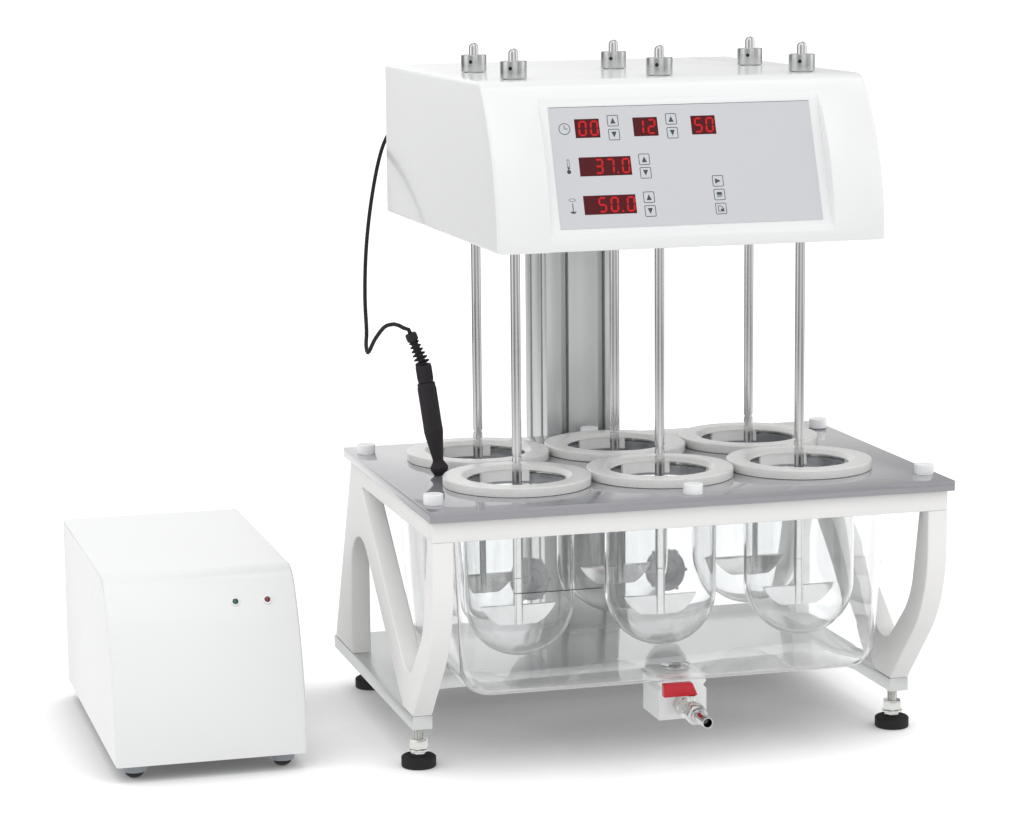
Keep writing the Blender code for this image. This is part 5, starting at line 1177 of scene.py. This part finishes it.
# The outer part of a port's body as (radius, way out of the wall, rounding)
PORT_OUTSIDE = (
    (0.0115, 0.0003, 0), (0.0170, 0.0003, 0.0006), (0.0170, 0.0073, 0.0012), (0.0075, 0.0073, 0.001),
    (0.0060, 0.0100, 0), (0.0060, 0.0232, 0), (0.0072, 0.0234, 0.0003), (0.0060, 0.0313, 0.0003),
    (0.0035, 0.0313, 0),
)


class TESTER_OT_water_bath(bpy.types.Operator):
    """Clear tub with drafted walls, and the two water ports in its rear wall"""
    bl_idname = "tester.water_bath"
    bl_label = "Water bath"

    def execute(self, context):
        low, high = span("water_bath")
        centre = (low + high) / 2
        tall = high.z - low.z
        taper = tall * math.tan(BATH_DRAFT)
        bm = bmesh.new()
        bmesh.ops.create_cube(bm, size=1.0)
        bmesh.ops.scale(bm, vec=(2 * BATH_HALF_X, 2 * BATH_HALF_Y, tall), verts=bm.verts)
        for vert in bm.verts:
            if vert.co.z < 0:
                vert.co.x -= math.copysign(taper, vert.co.x)
                vert.co.y -= math.copysign(taper, vert.co.y)
        upright = [edge for edge in bm.edges if edge.verts[0].co.z * edge.verts[1].co.z < 0]
        soften(bm, upright, BATH_CORNER, 10, clamp=False)
        floor = [edge for edge in bm.edges if all(vert.co.z < -tall / 3 for vert in edge.verts)]
        soften(bm, floor, BATH_FLOOR_EDGE, 9, clamp=False)
        lid = [face for face in bm.faces if face.calc_center_median().z > tall / 2 - 0.00001]
        bmesh.ops.delete(bm, geom=lid, context="FACES_ONLY")
        rim = [edge for edge in bm.edges if edge.is_boundary]
        lip = bmesh.ops.extrude_edge_only(bm, edges=rim)
        lip = [item for item in lip["geom"] if isinstance(item, bmesh.types.BMVert)]
        wider = ((high.x - low.x) / 2 / BATH_HALF_X, (high.y - low.y) / 2 / BATH_HALF_Y, 1)
        bmesh.ops.scale(bm, vec=wider, verts=lip)
        bmesh.ops.recalc_face_normals(bm, faces=bm.faces)
        bottom = min(bm.faces, key=lambda face: face.calc_center_median().z)
        if bottom.normal.z > 0:
            bmesh.ops.reverse_faces(bm, faces=bm.faces)
        bmesh.ops.translate(bm, vec=centre, verts=bm.verts)
        tub = piece("bath_tub", bm, bath_plastic(), STAND, "clear_plastic", "water_bath", sharp=50)
        thicken(tub, sizes().bath_wall, even=True)
        drain = middle("drain_flange")
        holes = bmesh.new()
        rod(holes, DRAIN_HOLE, low.z - OVERRUN, low.z + 3 * OVERRUN, at(drain.x, drain.y), 40)
        carve(tub, holes)
        for name, side in SIDES:
            self.port(name, side, high.z, centre.y)
        self.level_line(high.z, centre.y - BATH_HALF_Y)
        return {"FINISHED"}

    def level_line(self, top, front_y):
        """Plain printed line on the front wall at the highest filling."""
        wall_y = front_y + (top - LINE_HEIGHT) * math.tan(BATH_DRAFT)
        place = at(TESTER_X + LINE_X, wall_y - 0.0001, LINE_HEIGHT)
        lean = Matrix.Rotation(math.radians(90) + BATH_DRAFT, 4, "X")
        bm = bmesh.new()
        patch(bm, rectangle(-LINE_HALF, -0.0004, LINE_HALF, 0.0004))
        bmesh.ops.transform(bm, matrix=place @ lean, verts=bm.verts)
        piece("bath_level_line", bm, black_plastic(), STAND, "black_plastic")

    def port(self, name, side, top, centre_y):
        """A union through the rear wall: slotted round nut inside, hose barb outside."""
        wall_y = centre_y + BATH_HALF_Y - (top - PORT_HEIGHT) * math.tan(BATH_DRAFT)
        lean = Matrix.Rotation(math.radians(-90) - BATH_DRAFT, 4, "X")
        place = at(TESTER_X + side * PORT_WAY, wall_y, PORT_HEIGHT) @ lean
        inside = -sizes().bath_wall - GAP
        front = inside - 0.014
        bm = bmesh.new()
        body = open_rounded([
            (0.0035, front + 0.006, 0), (0.0110, front + 0.006, 0.0010), (0.0125, front + 0.001, 0.0010),
            (0.0185, front, 0.0012), (0.0220, front + 0.004, 0.0018), (0.0220, inside, 0.0006),
            (0.0115, inside, 0), *PORT_OUTSIDE], 4)
        spun(bm, body, 64, closed=True, place=place)
        for spoke in range(6):
            prism(bm, rectangle(-0.0022, -0.0015, 0.0022, 0.0015, 0.0005), 0.012,
                  place @ turned(60 * spoke) @ at(0.0216, 0, inside - 0.0065), edge=0.0004)
        piece(f"port_union_{name}", bm, fitting_plastic(), STAND, "grey_plastic", f"bath_port_{name}")


VALVE_HEIGHT = 0.048
VALVE_FLATS = 0.019
NOZZLE_BORE, NOZZLE_RADIUS, NOZZLE_START = 0.0043, 0.0053, 0.0373
# The valve's body as (radius, way out, rounding)
VALVE_BODY = (
    (0, -0.008, 0), (0.0065, -0.008, 0), (0.0065, 0.0003, 0), (0.0085, 0.0023, 0.0004),
    (0.0085, 0.0120, 0), (0.0100, 0.0150, 0.001), (0.0100, 0.0300, 0.001), (0.0085, 0.0320, 0),
    (0.0085, 0.037, 0.0004), (0, 0.037, 0),
)


class TESTER_OT_drain(bpy.types.Operator):
    """Drain block, flange, ball valve with its red lever, and the hose nozzle"""
    bl_idname = "tester.drain"
    bl_label = "Drain"

    def execute(self, context):
        piece("drain_block_white", trimmed("drain_block", 0.0006, 3), block_plastic(), STAND, "white_plastic",
              "drain_block")
        low, high = span("drain_flange")
        spot = middle("drain_flange")
        bm = bmesh.new()
        floor = high.z - 0.003
        profile = rounded([
            (0.0062, high.z - 0.0012, 0.0004), (0.0105, high.z, 0.0008), (0.0141, high.z - 0.0012, 0.0008),
            (0.0141, floor, 0.0003), (0.0077, floor, 0), (0.0077, low.z, 0), (0.0062, low.z, 0)], 4)
        spun(bm, profile, 64, closed=True, place=at(spot.x, spot.y))
        piece("drain_ring", bm, bright_steel(), STAND, "satin_steel", "drain_flange")
        self.valve(spot.x)
        low, high = span("valve_lever")
        bm = bmesh.new()
        outline = rounded([
            (low.x, low.z, 0.0012), (high.x, low.z, 0.0010), (high.x - 0.0055, high.z, 0.0022),
            (low.x, high.z, 0.0014)], 5)
        stand = at(0, (low.y + high.y) / 2, 0) @ turned(90, "X")
        prism(bm, outline, high.y - low.y, stand, edge=0.0010, segments=3)
        piece("lever_grip", bm, lever_plastic(), "valve_lever_turn", "red_plastic", "valve_lever")
        return {"FINISHED"}

    def valve(self, x):
        """Ball valve along -Y with two hexagons, its stem, and the nozzle screwed into it."""
        block = span("drain_block")[0].y
        place = front_view(x, block, VALVE_HEIGHT)
        bm = bmesh.new()
        spun(bm, open_rounded(VALVE_BODY, 4)[::-1], 48, place=place)
        prism(bm, hexagon(VALVE_FLATS), 0.012, place @ at(0, 0, 0.0063), edge=0.0008)
        prism(bm, hexagon(VALVE_FLATS), 0.006, place @ at(0, 0, 0.033), edge=0.0008)
        stem = span("valve_lever")[0].z - GAP
        profile = open_rounded([
            (0, stem, 0), (0.0045, stem, 0.0004), (0.0045, VALVE_HEIGHT, 0), (0, VALVE_HEIGHT, 0)], 3)
        spun(bm, profile, 40, place=at(x, block - 0.025))
        piece("valve_plated", bm, zinc_plating(), STAND, "zinc_plate", "drain_valve")
        bm = bmesh.new()
        first, last = NOZZLE_START, block - span("hose_nozzle")[0].y
        profile = rounded([
            (NOZZLE_BORE, first, 0), (NOZZLE_RADIUS, first, 0), (NOZZLE_RADIUS, last, 0.0003),
            (NOZZLE_BORE, last, 0.0003)], 3)
        spun(bm, profile, 48, closed=True, place=place)
        nut = rounded([
            (0.0050, first + 0.0071, 0), (0.0072, first + 0.0071, 0), (0.0062, first + 0.0105, 0.001),
            (0.0050, first + 0.0105, 0)], 3)
        spun(bm, nut, 40, closed=True, place=place)
        prism(bm, hexagon(VALVE_FLATS), 0.007, place @ at(0, 0, first + 0.0035), edge=0.0008)
        piece("nozzle_steel", bm, bright_steel(), STAND, "satin_steel", "hose_nozzle")


# The probe and its cord

CORD_ROUTE = (
    (-0.2364, 0.004, 0.4180), (-0.2391, 0.012, 0.4197), (-0.2420, 0.020, 0.4203), (-0.2446, 0.028, 0.4192),
    (-0.2476, 0.045, 0.4140), (-0.2510, 0.070, 0.3990), (-0.2510, 0.100, 0.3820), (-0.2470, 0.127, 0.3860),
    (-0.2410, 0.150, 0.3970), (-0.2330, 0.190, 0.4270), (-0.2230, 0.226, 0.4680), (-0.2120, 0.251, 0.5110),
    (-0.1980, 0.275, 0.5530), (-0.1850, 0.291, 0.5800), (-0.1710, 0.3000, 0.5930),
)
CORD_RADIUS = 0.0020
CORD_SPACING = 0.0085
CORD_LEAD = 0.0040
PROBE_PLACE = (-0.2040, -0.0020)
PROBE_LEAN = math.radians(8.2)
GRIP_FOOT = 0.0059
GRIP_LENGTH = 0.111
RELIEF_LEAN = math.radians(22.0)
RELIEF_LENGTH = 0.033
RELIEF_RING = 0.0075
RELIEF_RIBS = 6


def tester_place():
    """The middle of the vessel plate on the floor, from which the cord's route is given."""
    low, high = span("vessel_plate")
    return Vector((TESTER_X, (low.y + high.y) / 2, 0))


def probe_axis():
    return Vector((-math.sin(PROBE_LEAN), 0, math.cos(PROBE_LEAN)))


def relief_axis():
    return Vector((-math.sin(RELIEF_LEAN), 0, math.cos(RELIEF_LEAN)))


def probe_foot():
    lift = GRIP_FOOT * math.tan(PROBE_LEAN) + GAP
    return tester_place() + Vector((*PROBE_PLACE, PLATE_TOP + lift))


def smooth_route(points, spacing):
    """Evenly spaced points on the smooth curve through the route's points."""
    dense = []
    padded = [points[0] * 2 - points[1]] + points + [points[-1] * 2 - points[-2]]
    for before, start, end, after in zip(padded, padded[1:], padded[2:], padded[3:]):
        count = max(2, round((end - start).length / spacing * 4))
        for step in range(count):
            t = step / count
            dense.append((
                start * 2 + (end - before) * t + (before * 2 - start * 5 + end * 4 - after) * t ** 2
                + (start * 3 - before - end * 3 + after) * t ** 3
            ) / 2)
    dense.append(points[-1])
    lengths = [0.0]
    for first, second in zip(dense, dense[1:]):
        lengths.append(lengths[-1] + (second - first).length)
    count = round(lengths[-1] / spacing)
    route = []
    index = 0
    for step in range(count + 1):
        target = lengths[-1] * step / count
        while index < len(dense) - 2 and lengths[index + 1] < target:
            index += 1
        share = (target - lengths[index]) / (lengths[index + 1] - lengths[index])
        route.append(dense[index].lerp(dense[index + 1], share))
    return route


class TESTER_OT_probe_cord(bpy.types.Operator):
    """The probe's thin cord, from its strain relief to the gland behind the head"""
    bl_idname = "tester.probe_cord"
    bl_label = "Probe cord"

    def execute(self, context):
        start = probe_foot() + probe_axis() * GRIP_LENGTH + relief_axis() * (RELIEF_LENGTH + GAP)
        gland = span("cable_gland")[1]
        end = Vector((middle("cable_gland").x, gland.y + GAP, middle("cable_gland").z))
        leave = start + relief_axis() * CORD_LEAD
        arrive = end + Vector((0, CORD_LEAD, 0))
        points = [tester_place() + Vector(point) for point in CORD_ROUTE]
        route = [start] + smooth_route([leave] + points + [arrive], CORD_SPACING) + [end]
        curve = bpy.data.curves.new("probe_lead", "CURVE")
        curve.dimensions = "3D"
        curve.bevel_depth = CORD_RADIUS
        curve.bevel_resolution = 6
        curve.use_fill_caps = True
        spline = curve.splines.new("POLY")
        spline.points.add(len(route) - 1)
        for point, spot in zip(spline.points, route):
            point.co = (*spot, 1)
        spline.use_smooth = True
        curve.materials.append(black_rubber())
        lead = into_scene("probe_lead", curve)
        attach(lead, STAND)
        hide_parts("probe_cord")
        return {"FINISHED"}


GRIP_BARREL = 0.00765
GRIP_PROFILE = (
    (0, GRIP_LENGTH, 0), (GRIP_BARREL, GRIP_LENGTH, 0.0008), (GRIP_BARREL, 0.0945, 0.0004),
    (0.0069, 0.0932, 0), (0.0087, 0.0920, 0.0006), (0.0094, 0.0430, 0.02), (0.0050, 0.0140, 0.006),
    (0.0089, 0.0076, 0.002), (0.0086, 0.0050, 0.001), (GRIP_FOOT, 0, 0.0006), (0, 0, 0),
)
GRIP_FLATS = 8
GRIP_KNURLS = 20
SENSOR_RADIUS = 0.0025
SENSOR_LENGTH = 0.140


class TESTER_OT_probe(bpy.types.Operator):
    """Temperature probe: shaped grip, ribbed strain relief and steel sensor"""
    bl_idname = "tester.probe"
    bl_label = "Temperature probe"

    def execute(self, context):
        lean = Matrix.Translation(probe_foot()) @ Matrix.Rotation(-PROBE_LEAN, 4, "Y")
        bm = bmesh.new()
        spun(bm, open_rounded(GRIP_PROFILE, 6), 48, place=lean)
        flat = rectangle(-0.0013, 0.046, 0.0013, 0.088, 0.001)
        for side in range(GRIP_FLATS):
            lying = turned(90, "X") @ at(0, 0, 0.0088)
            prism(bm, flat, 0.0009, lean @ turned(360 / GRIP_FLATS * side + 22) @ lying, edge=0.0003)
        ridge = rectangle(-0.0004, 0.0965, 0.0004, 0.1085, 0.0003)
        for knurl in range(GRIP_KNURLS):
            lying = turned(90, "X") @ at(0, 0, GRIP_BARREL)
            prism(bm, ridge, 0.0005, lean @ turned(360 / GRIP_KNURLS * knurl) @ lying)
        relief_foot = probe_foot() + probe_axis() * GRIP_LENGTH
        relief = Matrix.Translation(relief_foot) @ Matrix.Rotation(-RELIEF_LEAN, 4, "Y")
        spun(bm, self.relief_profile(), 40, place=relief)
        piece("probe_grip", bm, black_plastic(), STAND, "black_plastic", "temperature_probe")
        bm = bmesh.new()
        turns = [math.radians(degrees) for degrees in range(0, 91, 15)]
        tip = [(SENSOR_RADIUS * math.cos(turn), -SENSOR_LENGTH - SENSOR_RADIUS * math.sin(turn))
               for turn in turns]
        spun(bm, [(0, 0.0005), (SENSOR_RADIUS, 0.0005)] + tip, 32, place=lean)
        piece("probe_sensor", bm, ground_steel(), STAND, "satin_steel")
        return {"FINISHED"}

    def relief_profile(self):
        """End ring, then sharp discs on a thin core that grow towards the grip."""
        core, tip, base = 0.0035, 0.0053, 0.0075
        ring_low = RELIEF_LENGTH - RELIEF_RING
        step = ring_low / RELIEF_RIBS
        profile = open_rounded([
            (0, RELIEF_LENGTH, 0), (0.0054, RELIEF_LENGTH, 0.0008), (0.0058, RELIEF_LENGTH - 0.003, 0.001),
            (0.0056, ring_low, 0.0006), (core, ring_low, 0)], 4)
        for index in range(RELIEF_RIBS):
            radius = tip + (base - tip) * index / (RELIEF_RIBS - 1)
            ridge = ring_low - step * (index + 0.5)
            profile += [(core, ridge + 0.0014), (radius - 0.0003, ridge + 0.0004), (radius, ridge),
                        (radius - 0.0003, ridge - 0.0004), (core, ridge - 0.0014)]
        return profile + [(core, -core), (0, -core)]


HEATER_CURVE = 0.260
HEATER_BROW = 0.032
HEATER_FOOT = 0.014
LAMP_HEIGHT = 0.1525
# Each lamp's place across the front as a share of the width, and its colour
HEATER_LAMPS = (("green", 0.675, (0.002, 0.085, 0.035)), ("red", 0.843, (0.16, 0.004, 0.006)))
LAMP_BEZEL = ((0.0029, 0.0002, 0), (0.0045, 0.0002, 0), (0.0044, 0.0012, 0.0004), (0.0033, 0.0018, 0.0003),
              (0.0029, 0.0010, 0.0002))
LAMP_RADIUS = 0.0030
FOOT_INSET = 0.0187
CONE_LOW, DOME_RADIUS, DOME_TOP = 0.0070, 0.0094, 0.0072


class TESTER_OT_heater(bpy.types.Operator):
    """Heater box with its two lamps, floor pan and feet"""
    bl_idname = "tester.heater"
    bl_label = "Heater box"

    def execute(self, context):
        low, high = span("heater_housing")
        curve, start = HEATER_CURVE, low.z + HEATER_FOOT
        centre_y = low.y + curve
        y, z, touch = brow(low.y, start, high.z, curve, HEATER_BROW)
        points = [(low.y, low.z)]
        points += [(centre_y - curve * math.cos(touch * k / 36), start + curve * math.sin(touch * k / 36))
                   for k in range(37)]
        points += brow_arc(y, z, touch, HEATER_BROW, 12) + [(high.y, high.z), (high.y, low.z)]
        bm = bmesh.new()
        prism(bm, points, high.x - low.x, side_view((low.x + high.x) / 2), edge=0.0030, segments=5,
              side_only=True)
        open_below(bm)
        shell = piece("heater_shell", bm, gloss_paint(), STAND, "gloss_white", "heater_housing")
        thicken(shell, 0.002)
        angle = (LAMP_HEIGHT - HEATER_FOOT) / curve
        for label, share, tone in HEATER_LAMPS:
            spot = (low.x + share * (high.x - low.x), centre_y - curve * math.cos(angle),
                    start + curve * math.sin(angle))
            place = Matrix.Translation(spot) @ Matrix.Rotation(math.radians(90) - angle, 4, "X")
            bm = bmesh.new()
            spun(bm, rounded(LAMP_BEZEL, 3), 40, closed=True, place=place)
            piece(f"lamp_bezel_{label}", bm, cap_plastic(), STAND, "white_plastic")
            bm = bmesh.new()
            turns = [math.radians(degrees) for degrees in range(0, 91, 15)]
            dome = [(LAMP_RADIUS * math.sin(turn), 0.0003 + 0.0011 * math.cos(turn)) for turn in turns]
            spun(bm, dome + [(LAMP_RADIUS, 0.0002), (0, 0.0002)], 32, place=place)
            glow = finish(f"lamp_{label}", tone, 0.12, scale=600, plain={"Coat Weight": 1.0})
            piece(f"lamp_dome_{label}", bm, glow, STAND, "red_plastic")
        self.feet(low.z)
        return {"FINISHED"}

    def feet(self, shell_low):
        low, high = span("heater_pan")
        bm = bmesh.new()
        outline = rectangle(low.x, low.y, high.x, high.y, 0.001)
        prism(bm, outline, high.z - shell_low, at(0, 0, (high.z + shell_low) / 2), edge=0.0004)
        piece("heater_floor", bm, fitting_plastic(), STAND, "grey_plastic", "heater_pan")
        cone = open_rounded([(0, shell_low, 0), (0.0135, shell_low, 0.0004), (0.0115, CONE_LOW, 0.0006),
                             (0, CONE_LOW, 0)], 3)
        turns = [math.radians(degrees) for degrees in range(0, 91, 10)]
        ball = [(DOME_RADIUS * math.cos(turn), DOME_TOP * (1 - math.sin(turn))) for turn in turns]
        cones, domes = bmesh.new(), bmesh.new()
        for x in (low.x + FOOT_INSET, high.x - FOOT_INSET):
            for y in (low.y + FOOT_INSET, high.y - FOOT_INSET):
                spun(cones, cone, 40, place=at(x, y))
                spun(domes, [(0, DOME_TOP)] + ball, 40, place=at(x, y))
        piece("heater_foot_cones", cones, foot_plastic(), STAND, "grey_plastic")
        piece("heater_foot_domes", domes, black_rubber(), STAND, "black_rubber")


class TESTER_OT_inner_works(bpy.types.Operator):
    """Finishes of the chassis, spindles, motor and belt inside the head, and of the gland behind it"""
    bl_idname = "tester.inner_works"
    bl_label = "Inner works"

    def execute(self, context):
        finishes = {"head_chassis": sheet_aluminium(), "drive_motor": black_plastic(),
                    "drive_belt": black_rubber(), "motor_pulley": turned_aluminium(),
                    "cable_gland": fitting_plastic()}
        for number in STATIONS:
            finishes[f"spindle_{number}"] = ground_steel()
        for node, material in finishes.items():
            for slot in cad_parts[node].material_slots:
                slot.material = material
        return {"FINISHED"}


# Camera, lamps, floor and room

CAMERA_PLACE = (-0.7699, -2.8403, 0.8096)
CAMERA_YAW = math.radians(14.435)
CAMERA_PITCH = math.radians(9.4285)
CAMERA_ROLL = math.radians(-0.7147)
CAMERA_LENS = 104.69
CAMERA_SHIFT = (0.0592, 0.0062)
SENSOR_WIDTH = 36.0
# Each lamp's name, place, size and power
LAMPS = (
    ("top_lamp", (-0.3, -1.2, 3.4), 3.6, 17),
    ("left_lamp", (-3.5, -1.6, 1.5), 6.0, 28),
    ("right_lamp", (3.2, -1.8, 1.3), 4.0, 22),
)
LAMP_AIM = (0.0, 0.0, 0.3)
FLOOR_REACH = 60.0
SHADOW_REACH = 0.14
# The floor as the camera sees it, from its deepest shade to its open part, and as the light finds it
SHADE_DARK, SHADE_PALE, SHADE_END = 0.11, 0.66, 0.85
FLOOR_GLOW = 0.90
FLOOR_TONE = 0.74
# Where the floor that metal mirrors turns from plain to the dimmed screens
FAR_START, FAR_END = 1.3, 3.2
SCREEN_DIMMING = 0.70
ROOM_LEVEL = 0.93
SCREEN_PAIRS = 4.0
SCREEN_DARK, SCREEN_BRIGHT, SCREEN_EDGE = 0.22, 1.05, 0.7
WHITE = (1.0, 1.0, 1.0, 1.0)


class TESTER_OT_studio(bpy.types.Operator):
    """Pale floor, soft lamps and the camera"""
    bl_idname = "tester.studio"
    bl_label = "Studio"

    def execute(self, context):
        scene = context.scene
        scene.view_settings.view_transform = "Standard"
        self.floor()
        self.room(scene)
        for name, spot, size, power in LAMPS:
            self.lamp(name, spot, size, power)
        self.camera(scene)
        return {"FINISHED"}

    def camera(self, scene):
        sight = bpy.data.cameras.new("front_camera")
        sight.sensor_width = SENSOR_WIDTH
        sight.lens = CAMERA_LENS
        sight.shift_x, sight.shift_y = CAMERA_SHIFT
        sight.clip_end = 200.0
        camera = into_scene("front_camera", sight)
        ahead = Vector((math.sin(CAMERA_YAW) * math.cos(CAMERA_PITCH),
                        math.cos(CAMERA_YAW) * math.cos(CAMERA_PITCH), -math.sin(CAMERA_PITCH)))
        right = Vector((math.cos(CAMERA_YAW), -math.sin(CAMERA_YAW), 0))
        up = right.cross(ahead)
        level = Matrix((right, up, -ahead)).transposed().to_4x4()
        camera.matrix_world = Matrix.Translation(CAMERA_PLACE) @ level @ Matrix.Rotation(CAMERA_ROLL, 4, "Z")
        scene.camera = camera

    def floor(self):
        bm = bmesh.new()
        bmesh.ops.create_grid(bm, x_segments=4, y_segments=4, size=FLOOR_REACH)
        mesh = mesh_of("studio_floor", bm)
        ground = into_scene("studio_floor", mesh)
        material = bpy.data.materials.new("floor_white")
        material.use_nodes = True
        mesh.materials.append(material)
        tree = material.node_tree
        hidden = add(tree, "ShaderNodeAmbientOcclusion", {"Distance": SHADOW_REACH}, samples=24)
        shade = add(tree, "ShaderNodeMapRange", {
            "Value": hidden.outputs["AO"], "From Max": SHADE_END, "To Min": SHADE_DARK,
            "To Max": SHADE_PALE}).outputs[0]
        glow = maths(tree, "MULTIPLY", shade, FLOOR_GLOW)
        place = add(tree, "ShaderNodeTexCoord").outputs["Object"]
        reach = add(tree, "ShaderNodeVectorMath", {0: place}, operation="LENGTH").outputs["Value"]
        far = add(tree, "ShaderNodeMapRange", {
            "Value": reach, "From Min": FAR_START, "From Max": FAR_END}).outputs[0]
        dimmed = maths(tree, "MULTIPLY", self.screens(tree, place), SCREEN_DIMMING)
        seen, mirrored = self.seen(tree), self.mirrored(tree)
        tone = self.blend(tree, seen, FLOOR_TONE, shade)
        lit = self.blend(tree, seen, 0.0, glow)
        fill(tree, tree.nodes["Principled BSDF"], {
            "Base Color": self.blend(tree, mirrored, tone, 0.0),
            "Emission Strength": self.blend(tree, mirrored, lit, self.blend(tree, far, 1.0, dimmed)),
            "Emission Color": WHITE, "Roughness": 0.9, "Specular IOR Level": 0.1})

    def seen(self, tree):
        """1 for what the camera sees, straight or through glass, and 0 for the light on the object."""
        path = add(tree, "ShaderNodeLightPath").outputs
        return maths(tree, "MAXIMUM", path["Is Camera Ray"], path["Is Transmission Ray"])

    def mirrored(self, tree):
        """1 for what a surface mirrors, and 0 for what is seen through glass."""
        path = add(tree, "ShaderNodeLightPath").outputs
        return maths(tree, "SUBTRACT", path["Is Glossy Ray"], path["Is Transmission Ray"], clamp=True)

    def blend(self, tree, factor, first, second):
        """A value that goes from the first to the second; either can be a number or a socket."""
        return add(tree, "ShaderNodeMix", {"Factor": factor, "A": first, "B": second}).outputs["Result"]

    def room(self, scene):
        world = bpy.data.worlds.new("studio_room")
        scene.world = world
        world.use_nodes = True
        tree = world.node_tree
        level = self.blend(tree, self.seen(tree), ROOM_LEVEL, 1.0)
        screens = self.screens(tree, add(tree, "ShaderNodeTexCoord").outputs["Generated"])
        strength = self.blend(tree, self.mirrored(tree), level, screens)
        fill(tree, tree.nodes["Background"], {"Strength": strength, "Color": WHITE})

    def screens(self, tree, way):
        """Bright and dim screens round the room, which metal mirrors."""
        parts = add(tree, "ShaderNodeSeparateXYZ", {0: way}).outputs
        turn = maths(tree, "ARCTAN2", parts["X"], parts["Y"])
        wave = maths(tree, "SINE", maths(tree, "MULTIPLY_ADD", turn, SCREEN_PAIRS, math.pi / 2))
        return add(tree, "ShaderNodeMapRange", {
            "Value": wave, "From Min": -SCREEN_EDGE, "From Max": SCREEN_EDGE, "To Min": SCREEN_DARK,
            "To Max": SCREEN_BRIGHT}).outputs[0]

    def lamp(self, name, spot, size, power):
        light = bpy.data.lights.new(name, "AREA")
        light.shape = "SQUARE"
        light.size = size
        light.energy = power
        lamp = into_scene(name, light)
        lamp.location = spot
        lamp.rotation_euler = (Vector(LAMP_AIM) - Vector(spot)).to_track_quat("-Z", "Y").to_euler()


class TESTER_PT_panel(bpy.types.Panel):
    """Builds the tester piece by piece"""
    bl_idname = "TESTER_PT_panel"
    bl_label = "Dissolution tester"
    bl_space_type = "VIEW_3D"
    bl_region_type = "UI"
    bl_category = "Tester"

    def draw(self, context):
        column = self.layout.column()
        for operator in OPERATORS:
            column.operator(operator.bl_idname)
        for group in (context.scene.tester_sizes, context.scene.tester_colours):
            for name in group.bl_rna.properties.keys():
                if name not in {"rna_type", "name"}:
                    column.prop(group, name)


OPERATORS = (
    TESTER_OT_studio, TESTER_OT_probe_cord, TESTER_OT_head_housing, TESTER_OT_control_panel, TESTER_OT_shafts,
    TESTER_OT_vessels, TESTER_OT_vessel_plate, TESTER_OT_side_frames, TESTER_OT_base_and_column,
    TESTER_OT_levelling_feet, TESTER_OT_water_bath, TESTER_OT_drain, TESTER_OT_probe, TESTER_OT_heater,
    TESTER_OT_inner_works,
)
CLASSES = (TesterSizes, TesterColours) + OPERATORS + (TESTER_PT_panel,)


def register():
    for cls in CLASSES:
        bpy.utils.register_class(cls)
    bpy.types.Scene.tester_sizes = bpy.props.PointerProperty(type=TesterSizes)
    bpy.types.Scene.tester_colours = bpy.props.PointerProperty(type=TesterColours)


def unregister():
    del bpy.types.Scene.tester_colours
    del bpy.types.Scene.tester_sizes
    for cls in reversed(CLASSES):
        bpy.utils.unregister_class(cls)


def main():
    register()
    for operator in OPERATORS:
        group, name = operator.bl_idname.split(".")
        getattr(getattr(bpy.ops, group), name)()
    bpy.context.view_layer.update()


if __name__ == "__main__":
    main()
